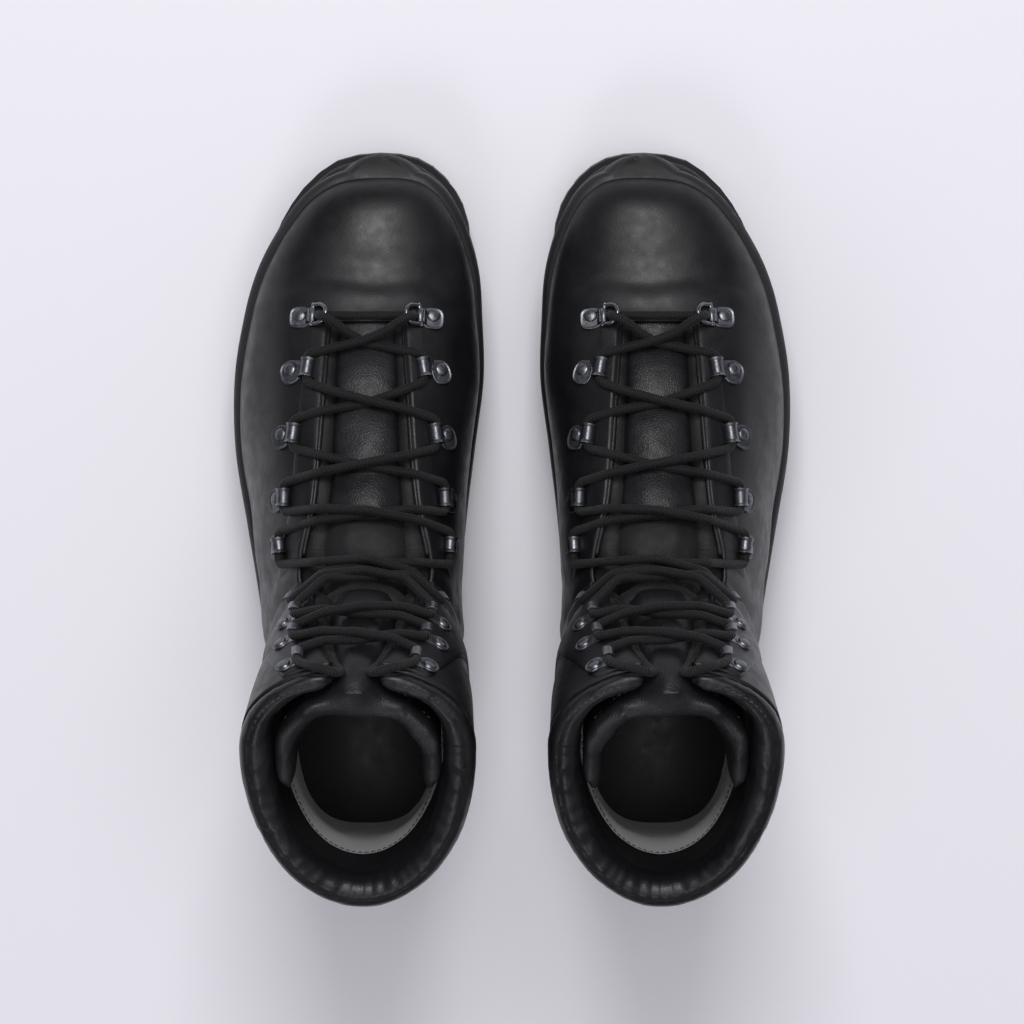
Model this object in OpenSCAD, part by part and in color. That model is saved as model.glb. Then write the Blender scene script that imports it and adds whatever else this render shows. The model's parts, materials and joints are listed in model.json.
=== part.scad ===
// A pair of laced leather mountaineering boots, standing side by side on the floor.
// Frame: +Y to the toes, +Z up, X = 0 midway between the boots, origin on the floor.
// The left boot is drawn about its own heel centre line and the right one is its mirror image.

/* [Pair] */
// Distance from the middle of the pair to each heel's centre line
heel_offset = 66; // [64:0.5:72]

/* [Leather] */
// Thickness of the outer leather
leather_t = 2.2; // [1.8:0.1:2.4]
// Thickness of the lining in the foot
lining_t = 2.0; // [1.5:0.1:2.2]
// Thickness of the padded lining in the shaft
shaft_pad_t = 6; // [4:0.5:7]
// Radius of the padded collar roll
collar_r = 6; // [5:0.25:6.5]

/* [Sole] */
// Depth of the tread grooves
lug_depth = 5; // [3:0.5:6]
// Width of a tread groove
groove_w = 4; // [3:0.5:5]
// How far the toe lip of the outsole stands out
toe_lip = 2.5; // [1:0.5:2.5]

/* [Lacing] */
// Diameter of the round lace
lace_d = 3.4; // [3.2:0.1:4]
// Wire radius of the two D-rings in the lowest row
ring_wire_r = 0.95; // [0.8:0.05:1.1]

/* [Motion] */
// Forward flex of the shaft, degrees
flex_forward = 6; // [4:1:6]
// Rearward flex of the shaft, degrees
flex_back = 4; // [2:1:4]

/* [Hidden] */

gap = 0.3;                 // clearance between neighbouring layers
overlay_gap = 0.6;         // clearance under a piece laid over the leather
clear_angle = 2;           // extra opening of the flex gap beyond the joint's range, degrees
seam_gap = 1.6;            // opening of the flex gap at the ankle's pivot
seam_tilt = 1.5;           // rise of the shaft's lower edge towards the front, degrees
pivot = [-82, 122];        // ankle hinge axis, as y and z
slot_u = 6;                // section at the front end of the lacing slot
top_u = 19;                // section at the collar's top edge
heel_u = 12.4;             // section where the sole line turns up into the heel
puff_t = 1.6;              // thickness of the toe puff and the heel counter
overlay_t = 1.4;           // thickness of a facing
rand_t = 2.2;              // thickness of the rand
lining_d = -(leather_t + puff_t + 2 * gap);  // depth of the linings' outer face in the foot
metal_t = 0.8;             // sheet that the eyelets and hooks are folded from
tunnel_r = lace_d / 2 + 0.45;                // inner radius of an eyelet
$fn = 32;

// One row per section, from the toe to the collar. Each section lies in a plane that holds the X
// direction: bottom or back point (y, z), top or front point (y, z), x of those two points,
// half width, height of the widest point as a share, squareness of the lower and upper halves.
SECTIONS = [
  [ 144,  43, 144,   46,  9,  9,    6, 0.50, 2.2, 2.2],
  [ 142.5, 39, 143,  53,  9,  9,   15, 0.45, 2.4, 2.3],
  [ 139,  37, 139.5, 60,  8,  8,   22, 0.42, 2.8, 2.3],
  [ 132,  35, 132, 65.5,  6,  7, 29.5, 0.40, 3.0, 2.3],
  [ 119,  32, 118,  70,   4,  5.5, 37.5, 0.38, 3.4, 2.3],
  [ 102, 29.5, 101, 74.5, 1.5, 4,  44, 0.35, 3.6, 2.3],
  [  82, 27.5, 83,  82.5, -1, 3, 47.8, 0.33, 3.6, 2.2],
  [  55,  27,  59,   96, -3.2, 3.2, 50.4, 0.30, 3.6, 2.1],
  [  24,  28,  33, 110.5, -5.2, 3.5, 48.8, 0.28, 3.6, 2.0],
  [ -12, 31.5, 10, 123.5, -4.4, 4, 44.7, 0.28, 3.6, 2.0],
  [ -55, 36.5, -6,  134, -2.5, 4.4, 41, 0.30, 3.4, 2.0],
  [-100,  40, -13,  140, -0.5, 4.5, 40, 0.36, 3.2, 2.0],
  [-133,  42, -16, 143.5, 0.5, 4.5, 39.5, 0.44, 3.0, 2.1],
  [-146,  54, -17.5, 145.5, 1, 4.5, 40, 0.50, 2.8, 2.1],
  [-150,  74, -18.5, 147,  1.5, 4.5, 41, 0.54, 2.5, 2.2],
  [-148,  96, -20, 149.5,  2, 4.5, 42, 0.58, 2.2, 2.2],
  [-144.5, 120, -25, 159.5,  2.5, 4.2, 43, 0.61, 2.1, 2.2],
  [-143, 144, -32,  177,  3, 3.6, 44.5, 0.63, 2.0, 2.2],
  [-145, 168, -40,  198,  3.5, 3, 45.5, 0.65, 2.0, 2.2],
  [-149, 192, -49,  220,  4, 2.5, 46.3, 0.66, 2.0, 2.2]
];

// Half width of the lacing slot at each section from slot_u on
SLOT = [16, 17.5, 19, 21, 25, 26, 25, 24, 23, 22, 21, 19, 15, 7];
// Height of the rand's upper edge at each section as far as the heel
RAND_TOP = [50, 50.5, 51, 50.5, 48.5, 46, 44, 43, 43.5, 46, 50, 54, 57, 58.5];
// Lacing rows from the toe: section, and distance of the lace from the middle
ROWS = [[5.9, 18.9], [6.85, 23.1], [7.85, 27.4], [8.85, 30.2], [9.65, 31.8],
        [12.9, 27.4], [16.35, 25.4], [17.35, 25], [18.3, 22.4]];
// Outline of the sole, from the toe along the medial side to the heel and back
OUTLINE = [
  [7, 154.4], [24, 152], [36, 143.5], [44, 131], [48.3, 113], [51, 92], [51.9, 68], [50.5, 44],
  [47, 20], [43, -5], [40.5, -35], [39.5, -65], [40.5, -95], [39.5, -122], [33, -143],
  [18, -153.2], [0, -155.2], [-17, -152.7], [-31, -142], [-38.5, -122], [-42, -95], [-45, -62],
  [-49, -30], [-54.5, -5], [-58, 20], [-59.3, 44], [-57.5, 67], [-52.5, 88], [-46, 106],
  [-37, 124], [-27, 139], [-12, 151]
];
// Side profiles, as y and z: the tread with its heel breast and toe spring, and the parting line
TREAD = [[-157, 5], [-150, 1.5], [-143, 0], [-58, 0], [-54, 6], [-20, 6], [4, 0], [62, 0],
         [84, 0.8], [104, 3], [124, 6.8], [142, 11.5], [157, 16]];
PARTING = [[-157, 17], [-60, 16.5], [-10, 14.5], [40, 13], [80, 13.6], [104, 16], [124, 20],
           [142, 25], [157, 30]];
// Grooves of the tread: y at the middle and slant in degrees
GROOVES = [[-136, 0], [-118, 14], [-99, -14], [-80, 14], [14, -12], [32, 12], [50, -12],
           [68, 12], [86, -12], [104, 12], [122, -6], [139, 0]];

// ---- curves ----
function clamp(v, low, high) = min(max(v, low), high);
function smooth(t) = let (c = clamp(t, 0, 1)) c * c * (3 - 2 * c);
function mix(a, b, t) = a + (b - a) * t;
function unit(v) = v / norm(v);
function spline(p, q, r, s, t) =
  0.5 * (2 * q + (r - p) * t + (2 * p - 5 * q + 4 * r - s) * t * t + (3 * q - p - 3 * r + s) * t * t * t);
function along(list, u) =
  let (last = len(list) - 1, v = clamp(u, 0, last - 0.00001), i = floor(v))
  spline(list[max(i - 1, 0)], list[i], list[i + 1], list[min(i + 2, last)], v - i);
function closed_curve(pts, steps) =
  let (n = len(pts))
  [for (i = [0:n - 1]) for (j = [0:steps - 1])
    spline(pts[(i + n - 1) % n], pts[i], pts[(i + 1) % n], pts[(i + 2) % n], j / steps)];
// A closed outline moved inwards by depth(y)
function inset(pts, depth) =
  let (n = len(pts))
  [for (i = [0:n - 1]) let (d = unit(pts[(i + 1) % n] - pts[(i + n - 1) % n]))
    pts[i] + depth(pts[i][1]) * [d[1], -d[0]]];
// The place where a rising function passes zero
function solve(f, low, high, count = 14) =
  let (mid = (low + high) / 2)
  count == 0 ? mid : f(mid) > 0 ? solve(f, low, mid, count - 1) : solve(f, mid, high, count - 1);

// ---- the boot's outer surface ----
// A point at section u and angle a: 0 is the front or top line, 180 the back or bottom line,
// positive angles are on the medial side.
function outer_point(u, a) =
  let (s = along(SECTIONS, u), c = cos(a), upper = c >= 0, k = s[7],
       n = upper ? s[9] : s[8],
       h = upper ? k + (1 - k) * pow(c, 2 / n) : k - k * pow(-c, 2 / n),
       side = s[6] * sign(sin(a)) * pow(abs(sin(a)), 2 / n))
  [mix(s[4], s[5], h) + side, mix(s[0], s[2], h), mix(s[1], s[3], h)];
function normal_at(u, a) =
  let (e = 0.04, f = 3, v = clamp(u, 0.1, top_u - 0.05))
  unit(cross(outer_point(v + e, a) - outer_point(v - e, a), outer_point(v, a + f) - outer_point(v, a - f)));
function skin(u, a, d) = outer_point(u, a) + d * normal_at(u, a);
// Angle at which the upper half of section u is x away from its middle
function angle_at(u, x) =
  let (s = along(SECTIONS, u))
  asin(pow(clamp(abs(x) / s[6], 0, 1), s[9] / 2)) * sign(x);
function slot_angle(u) =
  let (v = max(u, slot_u))
  angle_at(v, along(SLOT, v - slot_u));
// Angle at which section u reaches height z
function angle_of_height(u, z) =
  let (s = along(SECTIONS, u), k = s[7], h = (z - s[1]) / (s[3] - s[1]))
  h >= 1 ? 0 : h > k ? acos(pow((h - k) / (1 - k), s[9] / 2))
  : h > 0 ? 180 - acos(pow((k - h) / k, s[8] / 2)) : 180;

// Height of a point over the seam's plane, turned by some degrees about the ankle's pivot
function over_seam(p, turn) =
  let (t = seam_tilt + turn)
  (p[2] - pivot[1]) * cos(t) - (p[1] - pivot[0]) * sin(t);
// Sections where the column angle(u) meets the foot's upper edge and the shaft's lower edge
function foot_edge(angle) =
  solve(function (u)
    let (p = outer_point(u, angle(u)), front = p[1] > pivot[0])
    over_seam(p, front ? -flex_forward - clear_angle : flex_back + clear_angle) + seam_gap, 8, 17.5);
function shaft_edge(angle) = solve(function (u) over_seam(outer_point(u, angle(u)), 0), 8, 17.5);
// Radius of the collar roll and the section where the shaft's layers end under it
function collar_radius(a) =
  let (front = min(a, 360 - a))
  mix(collar_r * 0.55, collar_r, smooth((front - 35) / 60));
function shaft_top(a) = top_u - 2 * collar_radius(a) / 23 - 0.04;

// ---- solids from grids ----
// A shell over an nu by nv grid. place(i, j, d) gives the point, with d 0 inside and 1 outside,
// keep(i, j) says whether a cell belongs to the shell, and a ring joins its last column to its first.
module shell(nu, nv, place, keep = function (i, j) true, ring = false) {
  columns = ring ? nv : nv + 1;
  layer = (nu + 1) * columns;
  points = [for (d = [0, 1]) for (i = [0:nu]) for (j = [0:columns - 1]) place(i, j, d)];
  id = function (i, j, d) d * layer + i * columns + j % columns;
  kept = [for (i = [0:nu - 1]) [for (j = [0:nv - 1]) keep(i, j)]];
  has = function (i, j)
    let (k = ring ? (j + nv) % nv : j)
    i >= 0 && k >= 0 && i < nu && k < nv && kept[i][k];
  quads = [for (i = [0:nu - 1]) for (j = [0:nv - 1]) if (kept[i][j]) each [
    [id(i, j, 1), id(i, j + 1, 1), id(i + 1, j + 1, 1), id(i + 1, j, 1)],
    [id(i, j, 0), id(i + 1, j, 0), id(i + 1, j + 1, 0), id(i, j + 1, 0)],
    if (!has(i - 1, j)) [id(i, j, 0), id(i, j + 1, 0), id(i, j + 1, 1), id(i, j, 1)],
    if (!has(i + 1, j)) [id(i + 1, j + 1, 0), id(i + 1, j, 0), id(i + 1, j, 1), id(i + 1, j + 1, 1)],
    if (!has(i, j - 1)) [id(i + 1, j, 0), id(i, j, 0), id(i, j, 1), id(i + 1, j, 1)],
    if (!has(i, j + 1)) [id(i, j + 1, 0), id(i + 1, j + 1, 0), id(i + 1, j + 1, 1), id(i, j + 1, 1)]
  ]];
  polyhedron(points, [for (q = quads) each [[q[0], q[1], q[2]], [q[0], q[2], q[3]]]]);
}

// A piece of the boot's skin between two depths. angle(u, t) places its columns, starts and ends
// hold each column's first and last section, and drop(u, t) leaves cells out.
module skin_patch(nu, nv, angle, starts, ends, inner, outer,
                  drop = function (u, t) false, ring = false) {
  at = function (i, j) mix(starts[j % len(starts)], ends[j % len(ends)], i / nu);
  shell(nu, nv,
    function (i, j, d)
      let (u = at(i, j))
      skin(u, angle(u, j / nv), d == 0 ? inner(u, j / nv) : outer(u, j / nv)),
    function (i, j) !drop((at(i, j) + at(i + 1, j)) / 2, (j + 0.5) / nv),
    ring);
}
function depth(d) = function (u, t) d;
function all_columns(nv, value) = [for (j = [0:nv]) value];

// A plate that follows the sole line, share of the foot's width wide, between two heights over it
module floor_plate(first, last, share, low, high, nu = 12, nv = 4) {
  shell(nu, nv, function (i, j, d)
    let (s = along(SECTIONS, mix(first, last, i / nu)), w = s[6] * share)
    [s[4] + mix(-w, w, j / nv), s[0], s[1] + (d == 0 ? low : high)]);
}

// A round tube along a list of points
module tube(path, radius, sides = 8) {
  n = len(path);
  tangents = [for (i = [0:n - 1]) unit(path[min(i + 1, n - 1)] - path[max(i - 1, 0)])];
  frames = [for (i = 0, f = square_to([0, 0.3, 1], tangents[0]); i < n;
                 i = i + 1, f = square_to(f, tangents[min(i, n - 1)])) f];
  size = is_num(radius) ? [for (p = path) radius] : radius;
  points = [for (i = [0:n - 1]) for (j = [0:sides - 1])
    let (a = 360 * j / sides, g = cross(tangents[i], frames[i]))
    path[i] + size[i] * (cos(a) * frames[i] + sin(a) * g)];
  walls = [for (i = [0:n - 2]) for (j = [0:sides - 1])
    let (k = (j + 1) % sides, here = i * sides, next = here + sides)
    each [[here + j, next + k, here + k], [here + j, next + j, next + k]]];
  first_end = [for (j = [0:sides - 1]) j];
  last_end = [for (j = [sides - 1:-1:0]) (n - 1) * sides + j];
  polyhedron(points, concat(walls, [first_end, last_end]));
}
function square_to(f, t) = unit(f - (f * t) * t);

// ---- places on the boot ----
module left() { translate([-heel_offset, 0, 0]) children(); }
module right() { mirror([1, 0, 0]) left() children(); }

// Axes on the skin at section u, x from the middle: x away from the slot, z out of the leather
function skin_axes(u, x, d) =
  let (a = angle_at(u, x), n = normal_at(u, a), side = sign(x),
       out = square_to(outer_point(u, a + 4 * side) - outer_point(u, a - 4 * side), n))
  [out, cross(n, out), n, skin(u, a, d)];
module on_skin(u, x, d) {
  f = skin_axes(u, x, d);
  multmatrix([[f[0][0], f[1][0], f[2][0], f[3][0]],
              [f[0][1], f[1][1], f[2][1], f[3][1]],
              [f[0][2], f[1][2], f[2][2], f[3][2]]]) children();
}
facing_top = overlay_gap + overlay_t;
fixing_h = facing_top + 0.8;                           // underside of the plates
rivet_x = [9.6, 9, 8.4, 8, 7.6, 7.4, 7.4, 7.2, 6.4];   // rivet's distance outboard of the lace

// ---- sole ----
module plan(depth_of) { polygon(inset(closed_curve(OUTLINE, 2), depth_of)); }
module side_profile(pts) {
  rotate([90, 0, 90]) linear_extrude(200, center = true) polygon(pts);
}
function reversed(pts) = [for (i = [len(pts) - 1:-1:0]) pts[i]];
sole_line = concat([[157, 43]], [for (i = [2:12]) [SECTIONS[i][0], SECTIONS[i][1] - gap]], [[-157, 42]]);

module outsole() {
  color("#1b1b1c") difference() {
    intersection() {
      linear_extrude(60) plan(function (y) y > 119 ? 0 : 0.8);
      side_profile(concat(TREAD, reversed(PARTING)));
    }
    for (g = GROOVES) translate([0, g[0], tread_z(g[0])]) rotate([0, 0, g[1]])
      cube([140, groove_w, 2 * lug_depth], center = true);
  }
}
function tread_z(y) =
  let (i = [for (k = [0:len(TREAD) - 2]) if (TREAD[k][0] <= y && y < TREAD[k + 1][0]) k][0],
       p = TREAD[i], q = TREAD[i + 1])
  mix(p[1], q[1], (y - p[0]) / (q[0] - p[0]));

shank_size = [15, 106, 2];
module shank_place(grow) {
  translate([-1, -22, 28]) rotate([-5.2, 0, 0]) cube(shank_size + [grow, grow, grow], center = true);
}
module midsole() {
  color("#262627") difference() {
    intersection() {
      linear_extrude(60) plan(function (y) y > 119 ? toe_lip : 1.2);
      side_profile(concat([for (p = PARTING) p + [0, gap]], sole_line));
    }
    shank_place(2 * gap);
  }
}
module shank() { color("#8a8d90") shank_place(0); }
footbed_low = 10;
footbed_t = 3.5;
module insole_board() {
  color("#6b5a45") floor_plate(2.6, 11.5, 0.56, gap, 2.6);
}
module footbed() {
  color("#3a3c42") floor_plate(3.2, 11, 0.6, footbed_low, footbed_low + footbed_t);
}

// ---- foot ----
// Columns round the whole boot: the slot takes the middle ones
slot_share = 1 / 6;
function round_angle(u, t) =
  let (v = 2 * t - 1, w = slot_angle(u), e = abs(v))
  sign(v) * (e < slot_share ? w * e / slot_share : mix(w, 180, (e - slot_share) / (1 - slot_share)));
// A layer of the foot. part(u, v) picks its cells, v running from 0 at the top to 1 at the bottom.
module foot_layer(inner, outer, part = function (u, v) true) {
  nu = 14;
  nv = 24;
  front = 6;
  columns = [for (j = [0:nv - 1]) foot_edge(function (u) round_angle(u, j / nv))];
  at = function (i, j)
    i <= front ? slot_u * i / front : mix(slot_u, columns[j % nv], (i - front) / (nu - front));
  shell(nu, nv,
    function (i, j, d) let (u = at(i, j)) skin(u, round_angle(u, j / nv), d == 0 ? inner : outer),
    function (i, j)
      let (u = (at(i, j) + at(i + 1, j)) / 2, v = abs(2 * (j + 0.5) / nv - 1))
      !(v < slot_share && i >= front) && !(v > 0.82 && u < heel_u) && part(u, v),
    true);
}
stiffener_outer = -leather_t - gap;
module vamp() { color("#242427") foot_layer(-leather_t, 0); }
module foot_lining() { color("#8f8f92") foot_layer(lining_d - lining_t, lining_d); }
module toe_puff() {
  color("#b9a27c") foot_layer(stiffener_outer - puff_t, stiffener_outer, function (u, v) u < 4);
}
module heel_counter() {
  color("#b9a27c") foot_layer(stiffener_outer - puff_t, stiffener_outer,
    function (u, v) v > 0.6 && u > 10.6 && u < 14.9);
}
function rand_top(u) = clamp(angle_of_height(u, along(RAND_TOP, u)), 4, 168);
function rand_d(u) = overlay_gap + 0.9 * smooth(u - 11);     // clear of the heel's tight curve
function rand_angle(u, t) =
  let (top = rand_top(u), low = max(132, mix(top, 180, 0.5)), v = abs(2 * t - 1),
       a = v < 1 / 3 ? mix(180, low, v * 3) : mix(low, top, (v - 1 / 3) * 1.5))
  t < 0.5 ? a : 360 - a;
module rand() {
  color("#1f1f20") skin_patch(20, 12, function (u, t) rand_angle(u, t), all_columns(12, 0), all_columns(12, 13.3),
    function (u, t) rand_d(u), function (u, t) rand_d(u) + rand_t,
    function (u, t) abs(2 * t - 1) < 1 / 3 && u < heel_u);
}
// Facings of the lacing rows, medial and lateral, from the slot's edge outwards
function facing_angle(side, u, t, margin) =
  side * angle_at(u, along(SLOT, max(u, slot_u) - slot_u) + 0.4 + t * margin);
module facing(side, nu, starts, ends, margin) {
  angle = function (u, t) facing_angle(side, u, side > 0 ? t : 1 - t, margin(u));
  skin_patch(nu, 3, angle, starts, ends, depth(overlay_gap), depth(facing_top));
}
function lower_margin(u) = mix(19, 11, smooth((u - 5.5) / 3.5));
hook_panel_w = 17;          // width of a hook panel
function facing_edges(side, margin, edge) =
  [for (j = [0:3]) edge(function (u) facing_angle(side, u, side > 0 ? j / 3 : 1 - j / 3, margin(u)))];
module eyestay() {
  margin = function (u) lower_margin(u);
  edge = function (angle) min(foot_edge(angle) - 0.1, 10.3);
  color("#202023") for (side = [-1, 1])
    facing(side, 10, all_columns(3, 5.55), facing_edges(side, margin, edge), margin);
}

// ---- shaft ----
function shaft_angle(u, t) = let (w = slot_angle(u)) mix(w, 360 - w, t);
module shaft_layer(inner, outer, nu = 6, nv = 24) {
  starts = [for (j = [0:nv]) shaft_edge(function (u) shaft_angle(u, j / nv))];
  skin_patch(nu, nv, function (u, t) shaft_angle(u, t), starts, [for (j = [0:nv]) shaft_top(shaft_angle(18.5, j / nv))],
    depth(inner), depth(outer));
}
module cuff() { color("#222225") shaft_layer(-leather_t, 0); }
module shaft_foam() { color("#55555a") shaft_layer(1 - leather_t - shaft_pad_t, -leather_t - gap); }
module shaft_lining() {
  color("#2a2a2d") shaft_layer(-leather_t - shaft_pad_t, 1 - leather_t - shaft_pad_t - gap);
}
module hook_panels() {
  margin = function (u) hook_panel_w;
  edge = function (angle) shaft_edge(angle) + 0.15;
  color("#1e1e21") for (side = [-1, 1])
    facing(side, 12, facing_edges(side, margin, edge), all_columns(3, 18.62), margin);
}
module collar() {
  n = 30;
  first = slot_angle(18.9) + 8;
  angles = [for (i = [0:n]) mix(first, 360 - first, i / n)];
  color("#1d1d1f") tube(
    [for (a = angles) let (r = collar_radius(a)) skin(top_u - r / 23, a, -r)],
    [for (a = angles) collar_radius(a)], 10);
}
// The tongue's face rises between the facings and drops under them
tongue_d = -leather_t - shaft_pad_t - 1.4;
function tongue_face(width) = function (u, t)
  let (x = abs(2 * t - 1) * width(u), w = along(SLOT, max(u, slot_u) - slot_u))
  mix(-1.4, tongue_d, smooth((x - w * 0.35) / (w * 0.62)));
function foot_tongue_width(u) = along(SLOT, max(u, slot_u) - slot_u) + 5;
function shaft_tongue_width(u) = mix(29, 33, smooth((u - 14) / 5));
module lower_tongue() {
  w = function (u) foot_tongue_width(u);
  color("#2b2b2e") skin_patch(7, 8, function (u, t) angle_at(u, mix(-1, 1, t) * w(u)),
    all_columns(8, 5.4), all_columns(8, 9.3), depth(lining_d - lining_t - 5),
    function (u, t) let (f = tongue_face(w)) min(f(u, t), u < slot_u + 0.1 ? lining_d - lining_t - 0.7 : 0));
}
module tongue() {
  w = function (u) shaft_tongue_width(u);
  color("#2b2b2e") skin_patch(7, 8, function (u, t) angle_at(u, mix(-1, 1, t) * w(u)),
    all_columns(8, 15.1), all_columns(8, 18.85), depth(tongue_d - 8),
    function (u, t) let (f = tongue_face(w)) f(u, t) - 1.5);
}
// Soft leather that folds where the shaft meets the foot, and the tongue's fold in front of it
module flex_panel() {
  nv = 24;
  low = [for (j = [0:nv]) foot_edge(function (u) shaft_angle(u, j / nv)) + 0.1];
  high = [for (j = [0:nv]) shaft_edge(function (u) shaft_angle(u, j / nv)) - 0.05];
  color("#2b2b2e") {
    skin_patch(2, nv, function (u, t) shaft_angle(u, t), low, high, depth(-leather_t), depth(-gap));
    skin_patch(4, 6, function (u, t) angle_at(u, mix(-1, 1, t) * (along(SLOT, u - slot_u) - 2)),
      all_columns(6, 9.35), all_columns(6, 15.03), depth(-8), depth(-2.6));
  }
}

// ---- fixings ----
// A plate from the lace to its rivet, in the axes of on_skin
module fixing_plate(reach, width) {
  linear_extrude(metal_t) difference() {
    union() {
      translate([reach, 0]) circle(d = width);
      translate([0, -width / 2]) square([reach, width]);
    }
    translate([reach, 0]) circle(r = rivet_shaft_r + 0.05);
  }
}
rivet_shaft_r = 1.6;
rivet_cap_r = 3;
module rivet(reach) {
  translate([reach, 0, metal_t + 0.02]) {
    rotate_extrude() polygon(concat([[0, 0], [rivet_cap_r, 0]],
      [for (a = [0:15:90]) [rivet_cap_r * cos(a) * 0.9, 0.4 + 0.9 * sin(a)]]));
  }
}
module rivets(rows) {
  color("#8b8d90") for (r = rows) for (side = [-1, 1])
    on_skin(ROWS[r][0], side * ROWS[r][1], fixing_h) rivet(rivet_x[r]);
}
module lower_rivets() { rivets([0:4]); }
module upper_rivets() { rivets([5:8]); }

// Tunnels with flared ends that the lace runs through
sunk = 0.15;                // the tube's underside lies this much lower than the plate's
module tunnel(long) {
  h = long / 2;
  translate([0, 0, tunnel_r + metal_t - sunk]) rotate([90, 0, 0]) rotate_extrude() polygon([
    [tunnel_r + 0.6, -h], [tunnel_r, 1 - h], [tunnel_r, h - 1], [tunnel_r + 0.6, h],
    [tunnel_r + 0.6 + metal_t, h], [tunnel_r + metal_t, h - 1.4],
    [tunnel_r + metal_t, 1.4 - h], [tunnel_r + 0.6 + metal_t, -h]]);
}
tunnel_long = [0, 8.4, 8.4, 7.6, 6.6];                // tunnel of each eyelet row, from row 2
module eyelets() {
  color("#77797d") for (r = [1:4]) for (side = [-1, 1])
    on_skin(ROWS[r][0], side * ROWS[r][1], fixing_h) {
      tunnel(tunnel_long[r]);
      fixing_plate(rivet_x[r], 8.4);
    }
}
// Hooks whose mouth opens outwards
module hook_profile() {
  c = [0, tunnel_r + metal_t];
  difference() {
    translate(c) circle(r = tunnel_r + metal_t);
    translate(c) circle(r = tunnel_r);
    polygon([c, c + [1, -9], c + [9, -9], c + [9, 9], c + [3.6, 9]]);
  }
  square([3, metal_t]);
}
module speed_hooks() {
  color("#77797d") for (r = [5:8]) for (side = [-1, 1])
    on_skin(ROWS[r][0], side * ROWS[r][1], fixing_h) {
      rotate([90, 0, 0]) linear_extrude(5.4, center = true) hook_profile();
      fixing_plate(rivet_x[r], 7.4);
    }
}
// The D-ring turns in the folded end of its plate; its bar is the hinge
ring_bar = [3.4, 2.2];      // bar's place outboard of the lace and over the facing
ring_leg = 3.2;             // straight stretch beside the bar
ring_tilt = 25;             // the lace holds the ring's free end up, degrees
ring_half = 4.4;            // half the ring's height, middle to middle
module ring_plates() {
  knuckle_r = ring_wire_r + 0.7;
  color("#77797d") for (side = [-1, 1]) on_skin(ROWS[0][0], side * ROWS[0][1], fixing_h) {
    translate([ring_bar[0], 0, ring_bar[1]]) rotate([90, 0, 0]) difference() {
      cylinder(h = 6, r = knuckle_r, center = true);
      cylinder(h = 7, r = ring_wire_r + 0.1, center = true);
    }
    difference() {
      translate([ring_bar[0] + 1.2, -4.5, 0]) cube([9.2, 9, metal_t]);
      translate([rivet_x[0], 0, -1]) cylinder(h = 4, r = rivet_shaft_r + 0.05);
    }
    translate([ring_bar[0] + ring_wire_r + 0.15, -3, 0]) cube([0.55, 6, ring_bar[1]]);
  }
}
module d_ring(side) {
  color("#a4a6a8") on_skin(ROWS[0][0], side * ROWS[0][1], fixing_h)
    translate([ring_bar[0], 0, ring_bar[1]]) rotate([0, ring_tilt, 0]) {
      rotate([90, 0, 0]) cylinder(h = 2 * (ring_half + ring_wire_r) - 0.2, r = ring_wire_r, center = true);
      for (end = [-1, 1]) translate([0, end * ring_half, 0])
        rotate([0, -90, 0]) cylinder(h = ring_leg + 0.1, r = ring_wire_r - 0.04);
      translate([-ring_leg, 0, 0]) rotate([0, 0, 90]) rotate_extrude(angle = 180)
        translate([ring_half, 0]) circle(r = ring_wire_r);
    }
}
module d_ring_lateral() { d_ring(-1); }
module d_ring_medial() { d_ring(1); }

// ---- lace ----
lace_h = fixing_h + metal_t + tunnel_r - sunk;  // the lace's height in an eyelet
lace_low = 1.2;                                       // lower strand over the leather at a crossing
lace_over = lace_low + lace_d + 0.5;                  // upper strand there
function run_half(r) = [6.4, 6.4, 6.4, 6.4, 6, 4.8, 4.8, 4.8, 4.8][r];               // half the straight run in a fixing
// A point of the lace's run through row r, some way along it towards the heel
function run_point(r, side, way) =
  let (f = skin_axes(ROWS[r][0], side * ROWS[r][1], lace_h))
  f[3] - way * side * f[1];
function through(r, side) =
  let (h = run_half(r))
  [for (way = [-h, 1 - h, h - 1, h]) run_point(r, side, way)];
// Points where a strand leaves row r on one side and crosses towards the next row
function cross_shares(r) = r == 4 ? [0.27, 0.43, 0.62] : [0.36, 0.5, 0.64];
// How far a strand has come down to the crossing's height beside its fixing
function side_dip(r) = r == 5 ? 0 : 0.3;
function cross_point(r, height) = skin(mix(ROWS[r][0], ROWS[r + 1][0], cross_shares(r)[1]), 0, height);
function crossing(r, side, height) =
  let (p = ROWS[r], q = ROWS[r + 1], h = mix(lace_h, height, side_dip(r)), w = cross_shares(r),
       u = mix(p[0], q[0], w[0]), v = mix(p[0], q[0], w[2]))
  [skin(u, angle_at(u, side * p[1] * 0.58), h), cross_point(r, height),
   skin(v, angle_at(v, -side * q[1] * 0.58), h)];
function strand(first, last, side, order) =
  [for (r = [first:last]) let (here = (r - first) % 2 == 0 ? side : -side)
    each concat(through(r, here),
      r < last ? crossing(r, here, side * order > 0 ? lace_low : lace_over) : [])];
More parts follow.
